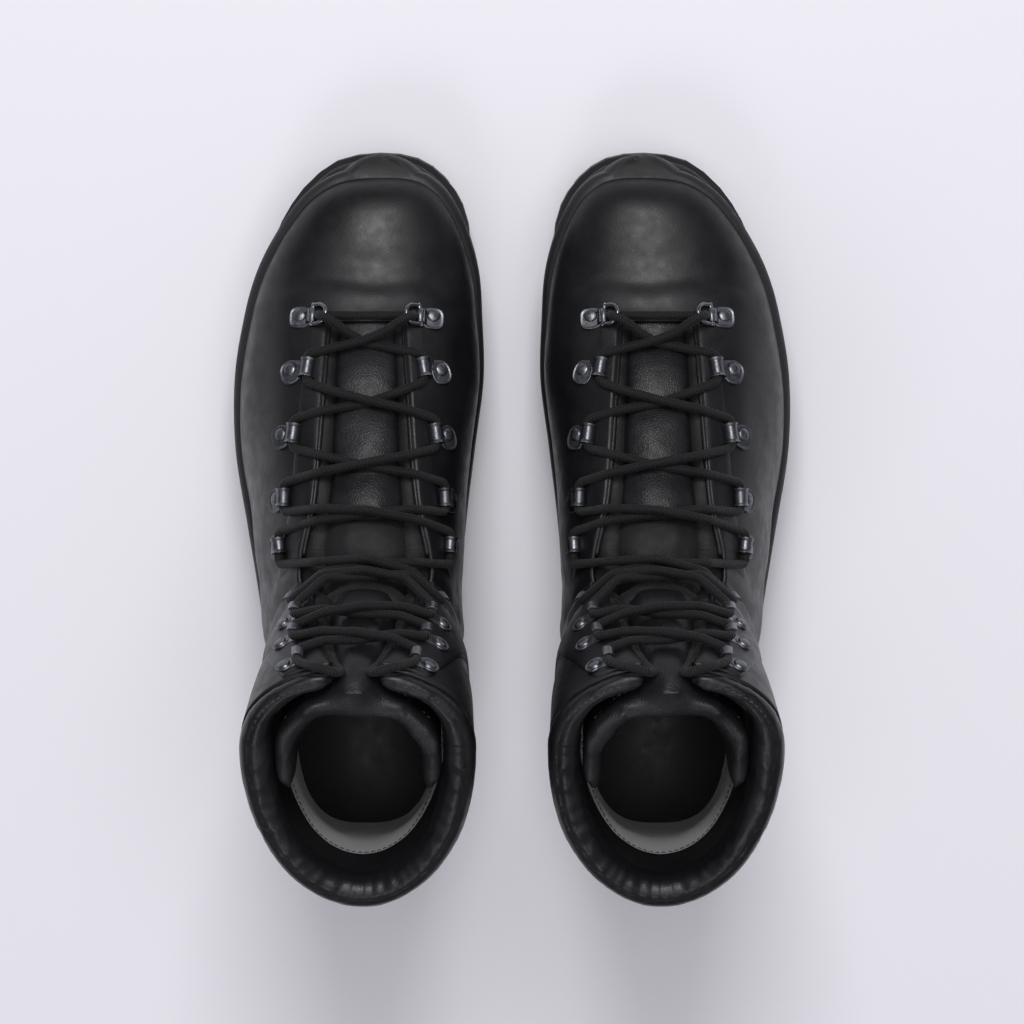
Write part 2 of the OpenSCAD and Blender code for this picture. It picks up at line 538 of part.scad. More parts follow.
// Points through a D-ring, as section, x and height: under its bow, up through it and back over
RING_ROUTE = [[5.9, 8, 4.2], [5.9, 14, 4.6], [5.9, 17, 4.8], [5.93, 18.8, 7], [6, 18.5, 10.5],
              [6.06, 16, 12.8], [6.14, 12.5, 10.8], [6.24, 8, 6.4]];
function ring_side(side) = [for (p = RING_ROUTE) skin(p[0], angle_at(p[0], side * p[1]), p[2])];
module lower_lace(order) {
  medial_first = order > 0 ? lace_low : lace_over;
  lateral_first = order > 0 ? lace_over : lace_low;
  color("#151516") tube(concat(
    reversed(strand(1, 4, 1, order)), [cross_point(0, medial_first)], reversed(ring_side(-1)),
    ring_side(1), [cross_point(0, lateral_first)], strand(1, 4, -1, order)), lace_d / 2);
}
lace_gap = 0.6;
ankle_low = 3;                                        // lower strand at the ankle's crossing
ankle_over = ankle_low + lace_d + 3;                  // upper strand there, clear of the lower
module ankle_lace(order) {
  color("#151516") for (side = [-1, 1])
    tube(concat([for (way = [lace_gap, 2]) run_point(4, side, run_half(4) + way)],
      crossing(4, side, side * order > 0 ? ankle_low : ankle_over),
      [for (way = [2, lace_gap]) run_point(5, -side, -run_half(5) - way)]), lace_d / 2);
}
// The tails curl over the corners of the collar and run down beside the tongue
function slot_at(u) = along(SLOT, u - slot_u);
function tail(side) = [
  skin(18.78, side * angle_at(18.78, 15), lace_h - 0.6),
  skin(18.86, side * angle_at(18.86, 8.5), 2.4),
  for (p = [[18.6, -1.4], [18.25, -3.9], [17.9, -4.5], [17.55, -4.6]])
    skin(p[0], side * angle_at(p[0], slot_at(p[0]) - 4), p[1])];
module upper_lace(order) {
  color("#151516") for (side = [-1, 1])
    tube(concat(strand(5, 8, side, order), tail(-side)), lace_d / 2);
}
module aglets() {
  color("#101010") for (side = [-1, 1])
    tube([for (u = [17.52, 17.35, 17.15, 16.95]) skin(u, side * angle_at(u, slot_at(u) - 4), -4.6)], 1.6);
}

left() outsole();  // left_outsole
left() midsole();  // left_midsole
left() shank();  // left_shank
left() insole_board();  // left_insole_board
left() footbed();  // left_footbed
left() rand();  // left_rand
left() toe_puff();  // left_toe_puff
left() heel_counter();  // left_heel_counter
left() vamp();  // left_vamp
left() eyestay();  // left_eyestay
left() foot_lining();  // left_foot_lining
left() lower_tongue();  // left_lower_tongue
left() cuff();  // left_cuff
left() hook_panels();  // left_hook_panels
left() shaft_foam();  // left_shaft_foam
left() shaft_lining();  // left_shaft_lining
left() collar();  // left_collar
left() tongue();  // left_tongue
left() flex_panel();  // left_flex_panel
left() ring_plates();  // left_ring_plates
left() d_ring_lateral();  // left_d_ring_lateral
left() d_ring_medial();  // left_d_ring_medial
left() eyelets();  // left_eyelets
left() lower_rivets();  // left_lower_rivets
left() speed_hooks();  // left_speed_hooks
left() upper_rivets();  // left_upper_rivets
left() lower_lace(1);  // left_lower_lace
left() ankle_lace(1);  // left_ankle_lace
left() upper_lace(1);  // left_upper_lace
left() aglets();  // left_aglets
right() outsole();  // right_outsole
right() midsole();  // right_midsole
right() shank();  // right_shank
right() insole_board();  // right_insole_board
right() footbed();  // right_footbed
right() rand();  // right_rand
right() toe_puff();  // right_toe_puff
right() heel_counter();  // right_heel_counter
right() vamp();  // right_vamp
right() eyestay();  // right_eyestay
right() foot_lining();  // right_foot_lining
right() lower_tongue();  // right_lower_tongue
right() cuff();  // right_cuff
right() hook_panels();  // right_hook_panels
right() shaft_foam();  // right_shaft_foam
right() shaft_lining();  // right_shaft_lining
right() collar();  // right_collar
right() tongue();  // right_tongue
right() flex_panel();  // right_flex_panel
right() ring_plates();  // right_ring_plates
right() d_ring_lateral();  // right_d_ring_lateral
right() d_ring_medial();  // right_d_ring_medial
right() eyelets();  // right_eyelets
right() lower_rivets();  // right_lower_rivets
right() speed_hooks();  // right_speed_hooks
right() upper_rivets();  // right_upper_rivets
right() lower_lace(-1);  // right_lower_lace
right() ankle_lace(-1);  // right_ankle_lace
right() upper_lace(-1);  // right_upper_lace
right() aglets();  // right_aglets
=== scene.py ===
"""A pair of laced leather mountaineering boots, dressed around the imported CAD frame."""

import json
import math

import bmesh
import bpy
import numpy as np
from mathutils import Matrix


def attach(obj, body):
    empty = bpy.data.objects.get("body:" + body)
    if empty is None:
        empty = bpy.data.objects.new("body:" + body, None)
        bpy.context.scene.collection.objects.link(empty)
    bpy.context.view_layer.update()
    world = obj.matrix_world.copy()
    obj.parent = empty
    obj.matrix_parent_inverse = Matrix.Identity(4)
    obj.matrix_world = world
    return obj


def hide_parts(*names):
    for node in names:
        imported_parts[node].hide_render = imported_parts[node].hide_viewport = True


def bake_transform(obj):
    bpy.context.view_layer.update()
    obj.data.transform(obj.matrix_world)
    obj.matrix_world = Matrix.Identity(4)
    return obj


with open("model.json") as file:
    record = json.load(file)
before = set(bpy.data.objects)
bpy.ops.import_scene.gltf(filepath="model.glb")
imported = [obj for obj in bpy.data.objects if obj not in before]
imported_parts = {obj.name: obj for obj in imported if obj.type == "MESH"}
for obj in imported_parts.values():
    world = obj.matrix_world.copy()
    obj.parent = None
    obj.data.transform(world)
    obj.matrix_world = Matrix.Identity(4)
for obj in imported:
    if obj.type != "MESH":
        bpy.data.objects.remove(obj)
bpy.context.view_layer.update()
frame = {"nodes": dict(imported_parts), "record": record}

# ---------------------------------------------------------------- the boot's form
# Lengths below are millimetres in one boot's own frame, and place() turns them into the shared one.
MM = 0.001
HEEL_OFFSET = abs(frame["record"]["mounts"][0]["pos_m"][0]) / MM
FEET = "soles_and_feet"
SIDES = {"left": -1, "right": 1}
SLOT_U = 6.0          # section at the front end of the lacing slot
TOP_U = 19.0          # section at the collar's top edge
LACE_R = 1.9
LACE_LOW, LACE_OVER = 1.3, 5.3       # the two strands' heights over the leather at a crossing
ANKLE_LOW, ANKLE_OVER = -0.8, 3.2    # and where they cross over the ankle
FLAT_ROW = 5                         # the strand that leaves this row keeps its fixing's height at the sides
FACING_TOP = 2.0      # top of the facings over the leather

# As part.scad has them: bottom or back point (y, z), top or front point (y, z), x of those two
# points, half width, height of the widest point, squareness of the lower and upper halves.
SECTIONS = np.array([
    [144, 43, 144, 46, 9, 9, 6, 0.50, 2.2, 2.2],
    [142.5, 39, 143, 53, 9, 9, 15, 0.45, 2.4, 2.3],
    [139, 37, 139.5, 60, 8, 8, 22, 0.42, 2.8, 2.3],
    [132, 35, 132, 65.5, 6, 7, 29.5, 0.40, 3.0, 2.3],
    [119, 32, 118, 70, 4, 5.5, 37.5, 0.38, 3.4, 2.3],
    [102, 29.5, 101, 74.5, 1.5, 4, 44, 0.35, 3.6, 2.3],
    [82, 27.5, 83, 82.5, -1, 3, 47.8, 0.33, 3.6, 2.2],
    [55, 27, 59, 96, -3.2, 3.2, 50.4, 0.30, 3.6, 2.1],
    [24, 28, 33, 110.5, -5.2, 3.5, 48.8, 0.28, 3.6, 2.0],
    [-12, 31.5, 10, 123.5, -4.4, 4, 44.7, 0.28, 3.6, 2.0],
    [-55, 36.5, -6, 134, -2.5, 4.4, 41, 0.30, 3.4, 2.0],
    [-100, 40, -13, 140, -0.5, 4.5, 40, 0.36, 3.2, 2.0],
    [-133, 42, -16, 143.5, 0.5, 4.5, 39.5, 0.44, 3.0, 2.1],
    [-146, 54, -17.5, 145.5, 1, 4.5, 40, 0.50, 2.8, 2.1],
    [-150, 74, -18.5, 147, 1.5, 4.5, 41, 0.54, 2.5, 2.2],
    [-148, 96, -20, 149.5, 2, 4.5, 42, 0.58, 2.2, 2.2],
    [-144.5, 120, -25, 159.5, 2.5, 4.2, 43, 0.61, 2.1, 2.2],
    [-143, 144, -32, 177, 3, 3.6, 44.5, 0.63, 2.0, 2.2],
    [-145, 168, -40, 198, 3.5, 3, 45.5, 0.65, 2.0, 2.2],
    [-149, 192, -49, 220, 4, 2.5, 46.3, 0.66, 2.0, 2.2]])
SLOT = np.array([[16], [17.5], [19], [21], [25], [26], [25], [24], [23], [22], [21], [19], [15], [7.0]])
RAND_TOP = np.array([[50], [50.5], [51], [50.5], [48.5], [46], [44], [43], [43.5], [46], [50], [54],
                     [57], [58.5]])
ROWS = [(5.9, 18.9), (6.85, 23.1), (7.85, 27.4), (8.85, 30.2), (9.65, 31.8),
        (12.9, 27.4), (16.35, 25.4), (17.35, 25.0), (18.3, 22.4)]
OUTLINE = np.array([
    [7, 154.4], [24, 152], [36, 143.5], [44, 131], [48.3, 113], [51, 92], [51.9, 68], [50.5, 44],
    [47, 20], [43, -5], [40.5, -35], [39.5, -65], [40.5, -95], [39.5, -122], [33, -143],
    [18, -153.2], [0, -155.2], [-17, -152.7], [-31, -142], [-38.5, -122], [-42, -95], [-45, -62],
    [-49, -30], [-54.5, -5], [-58, 20], [-59.3, 44], [-57.5, 67], [-52.5, 88], [-46, 106],
    [-37, 124], [-27, 139], [-12, 151]])


def mix(a, b, t):
    return a + (b - a) * t


def smooth(t):
    t = np.clip(t, 0, 1)
    return t * t * (3 - 2 * t)


def along(table, u):
    """Rows of a table at fractional places, by a Catmull-Rom curve."""
    last = len(table) - 1
    v = np.clip(np.asarray(u, float), 0, last - 1e-5)
    i = np.floor(v).astype(int)
    t = (v - i)[..., None]
    p, q = table[np.maximum(i - 1, 0)], table[i]
    r, s = table[i + 1], table[np.minimum(i + 2, last)]
    return 0.5 * (2 * q + (r - p) * t + (2 * p - 5 * q + 4 * r - s) * t ** 2
                  + (3 * q - p - 3 * r + s) * t ** 3)


def form(u, a):
    """A point of the boot's outer face: section u, angle a in degrees from the front line."""
    u, a = np.broadcast_arrays(np.asarray(u, float), np.asarray(a, float))
    s = along(SECTIONS, u)
    c, sn = np.cos(np.radians(a)), np.sin(np.radians(a))
    k = s[..., 7]
    n = np.where(c >= 0, s[..., 9], s[..., 8])
    lift = np.abs(c) ** (2 / n)
    h = np.where(c >= 0, k + (1 - k) * lift, k - k * lift)
    side = s[..., 6] * np.sign(sn) * np.abs(sn) ** (2 / n)
    return np.stack([mix(s[..., 4], s[..., 5], h) + side, mix(s[..., 0], s[..., 2], h),
                     mix(s[..., 1], s[..., 3], h)], -1)


def unit(v):
    return v / np.maximum(np.linalg.norm(v, axis=-1, keepdims=True), 1e-9)


def normal(u, a):
    u, a = np.broadcast_arrays(np.asarray(u, float), np.asarray(a, float))
    v = np.clip(u, 0.1, TOP_U - 0.05)
    return unit(np.cross(form(v + 0.04, a) - form(v - 0.04, a), form(v, a + 3) - form(v, a - 3)))


def skin(u, a, d):
    return form(u, a) + np.asarray(d, float)[..., None] * normal(u, a)


def angle_at(u, x):
    s = along(SECTIONS, u)
    return np.degrees(np.arcsin(np.clip(np.abs(x) / s[..., 6], 0, 1) ** (s[..., 9] / 2))) * np.sign(x)


def slot_half(u):
    return along(SLOT, np.maximum(u, SLOT_U) - SLOT_U)[..., 0]


def slot_angle(u):
    return angle_at(np.maximum(u, SLOT_U), slot_half(u))


def collar_radius(a):
    front = np.minimum(a, 360 - a)
    return mix(3.3, 6.0, smooth((front - 35) / 60))


def shaft_top(a):
    return TOP_U - 2 * collar_radius(a) / 23 - 0.04


def height_angle(u, z):
    """Angle at which section u reaches height z."""
    s = along(SECTIONS, u)
    k = s[..., 7]
    h = (z - s[..., 1]) / (s[..., 3] - s[..., 1])
    high = np.degrees(np.arccos(np.clip((h - k) / (1 - k), 0, 1) ** (s[..., 9] / 2)))
    low = 180 - np.degrees(np.arccos(np.clip((k - h) / k, 0, 1) ** (s[..., 8] / 2)))
    return np.where(h > k, high, low)


def ripple(p, pitch, seed, count=9):
    """Smooth seeded noise from -1 to 1: waves about pitch millimetres long, in random directions."""
    rng = np.random.default_rng(seed)
    total = np.zeros(p.shape[:-1])
    for _ in range(count):
        way = unit(rng.normal(size=3))
        k = 2 * math.pi / (pitch * rng.uniform(0.7, 1.5))
        total += np.sin(p @ way * k + rng.uniform(0, 2 * math.pi))
    return total / math.sqrt(count) / 1.5


# ---------------------------------------------------------------- meshes
def place(side, points):
    """Millimetres in the boot's frame to metres in the shared frame."""
    p = np.array(points, float).reshape(-1, 3)
    p[:, 0] = SIDES[side] * (HEEL_OFFSET - p[:, 0])
    return p * MM


def build(side, name, points, faces, uv=None):
    """A mesh object; faces wind outwards on the left boot and are turned over on the right."""
    if side == "right":
        faces = [f[::-1] for f in faces]
        uv = None if uv is None else [w[::-1] for w in uv]
    mesh = bpy.data.meshes.new(f"{side}_{name}")
    mesh.from_pydata(place(side, points).tolist(), [], faces)
    if uv is not None:
        layer = mesh.uv_layers.new(name="run")
        layer.data.foreach_set("uv", np.array([c for w in uv for c in w], float).ravel())
    mesh.polygons.foreach_set("use_smooth", [True] * len(mesh.polygons))
    mesh.validate()
    obj = bpy.data.objects.new(f"{side}_{name}", mesh)
    bpy.context.scene.collection.objects.link(obj)
    return obj


def sheet_faces(nu, nv, ring=False, keep=None):
    """Quads over a grid of nu by nv cells."""
    cols = nv if ring else nv + 1
    return [(i * cols + j, i * cols + (j + 1) % cols, (i + 1) * cols + (j + 1) % cols, (i + 1) * cols + j)
            for i in range(nu) for j in range(nv) if keep is None or keep[i][j]]


def drop_loose(obj):
    """Delete the points that no face uses."""
    bm = bmesh.new()
    bm.from_mesh(obj.data)
    bmesh.ops.delete(bm, geom=[v for v in bm.verts if not v.link_faces], context="VERTS")
    bm.to_mesh(obj.data)
    bm.free()


def settle(obj):
    """Applies the modifiers, so that the mesh is final."""
    bpy.context.view_layer.update()
    done = bpy.data.meshes.new_from_object(obj.evaluated_get(bpy.context.evaluated_depsgraph_get()))
    obj.modifiers.clear()
    obj.data = done
    return obj


def carried_frames(path):
    """Tangents and two cross directions along a path, turning as little as they can."""
    tangent = unit(np.gradient(path, axis=0))
    first = np.array([0.0, 0.3, 1.0])
    cross = np.zeros_like(path)
    for i, t in enumerate(tangent):
        first = first - first.dot(t) * t
        first = first / np.linalg.norm(first)
        cross[i] = first
    return tangent, cross, np.cross(tangent, cross)


def tube_mesh(path, radius, sides=12, closed_ends=True, profile=None, start=0.0):
    """Points, faces and UVs of a round tube. profile(s, angle) scales its radius, and u is the run in mm."""
    path = np.asarray(path, float)
    _, fx, fy = carried_frames(path)
    run = start + np.concatenate([[0], np.cumsum(np.linalg.norm(np.diff(path, axis=0), axis=1))])
    ang = np.arange(sides) * 2 * math.pi / sides
    r = np.broadcast_to(np.asarray(radius, float), (len(path),))[:, None] * np.ones((1, sides))
    if profile is not None:
        r = r * profile(run[:, None], ang[None, :])
    pts = (path[:, None] + r[..., None] * (np.cos(ang)[None, :, None] * fx[:, None]
                                          + np.sin(ang)[None, :, None] * fy[:, None]))
    faces, uv = [], []
    for i in range(len(path) - 1):
        for j in range(sides):
            k = (j + 1) % sides
            faces.append((i * sides + j, i * sides + k, (i + 1) * sides + k, (i + 1) * sides + j))
            uv.append(((run[i], j / sides), (run[i], (j + 1) / sides), (run[i + 1], (j + 1) / sides),
                       (run[i + 1], j / sides)))
    if closed_ends:
        last = (len(path) - 1) * sides
        faces.append(tuple(range(sides))[::-1])
        faces.append(tuple(last + j for j in range(sides)))
        uv.append(tuple((run[0], 0.5) for _ in range(sides)))
        uv.append(tuple((run[-1], 0.5) for _ in range(sides)))
    return pts.reshape(-1, 3), faces, uv


def tube(side, name, path, radius, **more):
    return build(side, name, *tube_mesh(path, radius, **more))


def curve(points, step):
    """A smooth curve through points, resampled at an even step."""
    pts = np.asarray(points, float)
    dense = along(pts, np.linspace(0, len(pts) - 1, 24 * (len(pts) - 1)))
    run = np.concatenate([[0], np.cumsum(np.linalg.norm(np.diff(dense, axis=0), axis=1))])
    count = max(int(run[-1] / step), 3)
    return np.stack([np.interp(np.linspace(0, run[-1], count), run, dense[:, k]) for k in range(3)], -1)


# ---------------------------------------------------------------- camera, light and floor
def stage_set():
    scene = bpy.context.scene
    target = np.array([0, -0.010, 0])
    pitch, distance = math.radians(7.5), 1.8
    camera = bpy.data.objects.new("camera", bpy.data.cameras.new("camera"))
    scene.collection.objects.link(camera)
    camera.location = target + distance * np.array([0, math.sin(pitch), math.cos(pitch)])
    camera.rotation_euler = (-pitch, 0, 0)
    camera.data.lens = 138.4
    camera.data.sensor_width = 36
    scene.camera = camera

    world = bpy.data.worlds.new("studio")
    world.use_nodes = True
    tree = world.node_tree
    height = tree.nodes.new("ShaderNodeSeparateXYZ")
    tree.links.new(tree.nodes.new("ShaderNodeTexCoord").outputs["Generated"], height.inputs[0])
    rise = tree.nodes.new("ShaderNodeMapRange")
    for key, value in (("From Min", 0.05), ("From Max", 0.9), ("To Min", 0.16), ("To Max", 0.34)):
        rise.inputs[key].default_value = value
    tree.links.new(height.outputs[2], rise.inputs["Value"])
    tree.links.new(rise.outputs[0], tree.nodes["Background"].inputs["Strength"])
    tree.nodes["Background"].inputs["Color"].default_value = (0.80, 0.80, 0.88, 1)
    scene.world = world
    scene.view_settings.view_transform = "Standard"
    for name, place_at, size, power in (("key", (-0.02, 1.35, 2.0), 0.8, 30),
                                        ("fill", (0.2, 0.4, 3.4), 2.2, 34),
                                        ("heel_side", (-0.4, -1.5, 2.0), 0.7, 7)):
        light = bpy.data.objects.new(name, bpy.data.lights.new(name, "AREA"))
        light.data.size = size
        light.data.energy = power
        light.location = place_at
        aim = np.array([0, 0, 0.05]) - np.array(place_at)
        light.rotation_euler = (math.atan2(math.hypot(aim[0], aim[1]), -aim[2]), 0,
                                math.atan2(aim[1], aim[0]) - math.pi / 2)
        scene.collection.objects.link(light)
    mesh = bpy.data.meshes.new("floor")
    reach = 6
    mesh.from_pydata([(-reach, -reach, 0), (reach, -reach, 0), (reach, reach, 0), (-reach, reach, 0)], [],
                     [(0, 1, 2, 3)])
    floor = bpy.data.objects.new("floor", mesh)
    scene.collection.objects.link(floor)
    paint = bpy.data.materials.new("floor")
    paint.use_nodes = True
    shader = paint.node_tree.nodes["Principled BSDF"]
    shader.inputs["Base Color"].default_value = (0.83, 0.82, 0.87, 1)
    shader.inputs["Roughness"].default_value = 0.85
    mesh.materials.append(paint)


# ---------------------------------------------------------------- finishes
class Graph:
    """Short hand for building one material's nodes."""

    def __init__(self, name, rough, metal=0.0, sheen=0.0, coat=0.0, coat_rough=0.3, specular=0.5):
        self.made = bpy.data.materials.new(name)
        self.made.use_nodes = True
        self.tree = self.made.node_tree
        self.shader = self.tree.nodes["Principled BSDF"]
        for key, value in (("Roughness", rough), ("Metallic", metal), ("Sheen Weight", sheen),
                           ("Coat Weight", coat), ("Coat Roughness", coat_rough),
                           ("Specular IOR Level", specular)):
            self.shader.inputs[key].default_value = value
        if sheen:
            self.shader.inputs["Sheen Roughness"].default_value = 0.4
        self.coords = self.node("ShaderNodeTexCoord").outputs["Object"]

    def node(self, kind, links=None, values=None, **props):
        made = self.tree.nodes.new(kind)
        for key, value in props.items():
            setattr(made, key, value)
        for key, value in (values or {}).items():
            made.inputs[key].default_value = value
        for key, source in (links or {}).items():
            self.tree.links.new(source, made.inputs[key])
        return made

    def noise(self, scale, detail=3.0, rough=0.55, stretch=None):
        coords = self.coords
        if stretch:
            coords = self.node("ShaderNodeMapping", {"Vector": coords}, {"Scale": stretch}).outputs["Vector"]
        return self.node("ShaderNodeTexNoise", {"Vector": coords},
                         {"Scale": scale, "Detail": detail, "Roughness": rough}).outputs[0]

    def cells(self, scale, feature="DISTANCE_TO_EDGE"):
        warp = self.noise(scale * 0.6, 2.0)
        moved = self.node("ShaderNodeVectorMath", {0: self.coords}, {1: (0, 0, 0)}, operation="ADD")
        grown = self.node("ShaderNodeVectorMath", {0: warp}, {1: (0.35 / scale,) * 3}, operation="MULTIPLY")
        self.tree.links.new(grown.outputs[0], moved.inputs[1])
        return self.node("ShaderNodeTexVoronoi", {"Vector": moved.outputs[0]}, {"Scale": scale},
                         feature=feature).outputs["Distance"]

    def span(self, source, low, high, to_low, to_high):
        return self.node("ShaderNodeMapRange", {"Value": source}, {
            "From Min": low, "From Max": high, "To Min": to_low, "To Max": to_high}).outputs[0]

    def blend(self, factor, first, second):
        made = self.node("ShaderNodeMix", {"Factor": factor}, data_type="RGBA")
        for slot, value in ((6, first), (7, second)):
            if isinstance(value, tuple):
                made.inputs[slot].default_value = (*value, 1)
            else:
                self.tree.links.new(value, made.inputs[slot])
        return made.outputs[2]

    def colour(self, source):
        self.tree.links.new(source, self.shader.inputs["Base Color"])

    def roughness(self, source):
        self.tree.links.new(source, self.shader.inputs["Roughness"])

    def relief(self, *layers, edge=0.0):
        """Bump layers as (height, distance in mm), the coarsest first; edge rounds sharp corners."""
        under = None
        if edge:
            under = self.node("ShaderNodeBevel", values={"Radius": edge * MM}, samples=4).outputs[0]
        for height, depth in layers:
            bump = self.node("ShaderNodeBump", {"Height": height}, {"Distance": depth * MM, "Strength": 1.0})
            if under is not None:
                self.tree.links.new(under, bump.inputs["Normal"])
            under = bump.outputs[0]
        self.tree.links.new(under, self.shader.inputs["Normal"])
        return self.made

    def crest(self):
        return self.node("ShaderNodeNewGeometry").outputs["Pointiness"]


def leather(name, dark, light, rough, grain, depth, wear=0.3, coat=0.0, sheen=0.0, cloud=26, crease=0.10):
    """Tanned hide: pebbled cells, long pores, broad tone changes, and rubbed edges."""
    g = Graph(name, rough, sheen=sheen, coat=coat, coat_rough=0.28, specular=0.30)
    broad = g.span(g.noise(cloud, 4), 0.35, 0.68, 0, 1)
    cells = g.span(g.cells(grain), 0, 0.32, 0, 1)
    pores = g.noise(grain * 2.6, 2)
    scuffs = g.span(g.noise(90, 6, 0.7, (1, 0.25, 1)), 0.62, 0.78, 0, wear)
    rubbed = g.span(g.crest(), 0.53, 0.62, 0, wear)
    tone = g.blend(broad, dark, light)
    tone = g.blend(scuffs, tone, tuple(min(c * 2.2 + 0.01, 1) for c in light))
    g.colour(g.blend(rubbed, tone, tuple(min(c * 2.6 + 0.015, 1) for c in light)))
    uneven = g.node("ShaderNodeMath", {0: g.span(g.noise(140, 3), 0.3, 0.7, rough - 0.07, rough + 0.09),
                                       1: g.span(broad, 0, 1, -0.03, 0.04)}, operation="ADD").outputs[0]
    g.roughness(uneven)
    folds = g.span(g.noise(55, 5, 0.6), 0.3, 0.7, 0, 1)
    return g.relief((folds, crease), (cells, depth), (pores, depth * 0.4))


def rubber(name, tone, rough, grain=900, dust=0.25):
    g = Graph(name, rough, specular=0.35)
    patch = g.span(g.noise(34, 5, 0.65), 0.42, 0.72, 0, dust)
    worn = g.span(g.crest(), 0.52, 0.6, 0, 0.5)
    base = g.blend(patch, tone, tuple(c * 1.9 + 0.012 for c in tone))
    g.colour(g.blend(worn, base, tuple(c * 2.6 + 0.02 for c in tone)))
    g.roughness(g.span(g.noise(180, 4), 0.3, 0.7, rough - 0.08, rough + 0.1))
    return g.relief((g.noise(grain, 3), 0.07), (g.noise(grain * 3, 2), 0.03), edge=0.5)


def metal(name, tone, rough, worn=0.35):
    g = Graph(name, rough, metal=1.0)
    patch = g.span(g.noise(420, 5, 0.7), 0.45, 0.75, 0, 0.7)
    bare = g.span(g.crest(), 0.51, 0.57, 0, worn)
    base = g.blend(patch, tone, tuple(c * 0.62 for c in tone))
    g.colour(g.blend(bare, base, tuple(min(c * 1.9 + 0.05, 0.8) for c in tone)))
    g.roughness(g.span(g.noise(600, 4, 0.6), 0.3, 0.7, rough - 0.1, rough + 0.14))
    return g.relief((g.noise(700, 3), 0.035), (g.noise(2400, 2, 0.5, (1, 6, 1)), 0.015), edge=0.3)


def cloth(name, dark, light, thread, depth, sheen=0.35, rough=0.85):
    """Woven fabric: two crossing sets of yarns, with slubs."""
    g = Graph(name, rough, sheen=sheen, specular=0.25)
    yarns = []
    for turn in (0.78, -0.78):
        turned = g.node("ShaderNodeMapping", {"Vector": g.coords}, {"Rotation": (0.35, turn, turn)})
        yarns.append(g.node("ShaderNodeTexWave", {"Vector": turned.outputs[0]}, {
            "Scale": thread, "Distortion": 0.7, "Detail": 1.0}, wave_profile="SIN").outputs["Fac"])
    weave = g.node("ShaderNodeMath", {0: yarns[0], 1: yarns[1]}, operation="MULTIPLY").outputs[0]
    broad = g.span(g.noise(38, 4), 0.35, 0.7, 0, 1)
    worn = g.blend(broad, dark, tuple(c * 0.8 for c in dark))
    g.colour(g.blend(g.span(weave, 0, 1, 0.1, 0.8), worn, light))
    return g.relief((g.noise(120, 4), 0.25), (weave, depth), (g.noise(3000, 2), 0.02))


def braid(name, dark, light):
    """Round braided cord; the run along it comes from the UVs, in millimetres."""
    g = Graph(name, 0.66, sheen=0.06, specular=0.25)
    run = g.node("ShaderNodeSeparateXYZ", {0: g.node("ShaderNodeTexCoord").outputs["UV"]})
    ridges = []
    for lean, pitch in ((1, 0.85), (-6, 1.9)):
        turned = g.node("ShaderNodeMath", {0: run.outputs[1]}, {1: lean * 2 * math.pi}, operation="MULTIPLY")
        phase = g.node("ShaderNodeMath", {0: run.outputs[0], 2: turned.outputs[0]}, {1: 2 * math.pi / pitch},
                       operation="MULTIPLY_ADD")
        wave = g.node("ShaderNodeMath", {0: phase.outputs[0]}, operation="SINE").outputs[0]
        ridges.append(g.span(wave, -1, 1, 0, 1 if lean > 0 else 0.55))
    knit = g.node("ShaderNodeMath", {0: ridges[0], 1: ridges[1]}, operation="MAXIMUM").outputs[0]
    g.colour(g.blend(g.span(knit, 0.5, 1, 0, 1), dark, light))
    return g.relief((knit, 0.28), (g.noise(2600, 3), 0.05))


def plain(name, tone, rough, specular=0.4, noise=400, depth=0.03, sheen=0.0):
    g = Graph(name, rough, specular=specular, sheen=sheen)
    g.colour(g.blend(g.span(g.noise(noise * 0.3, 4), 0.35, 0.7, 0, 1), tone, tuple(c * 0.7 for c in tone)))
    return g.relief((g.noise(noise, 3), depth))


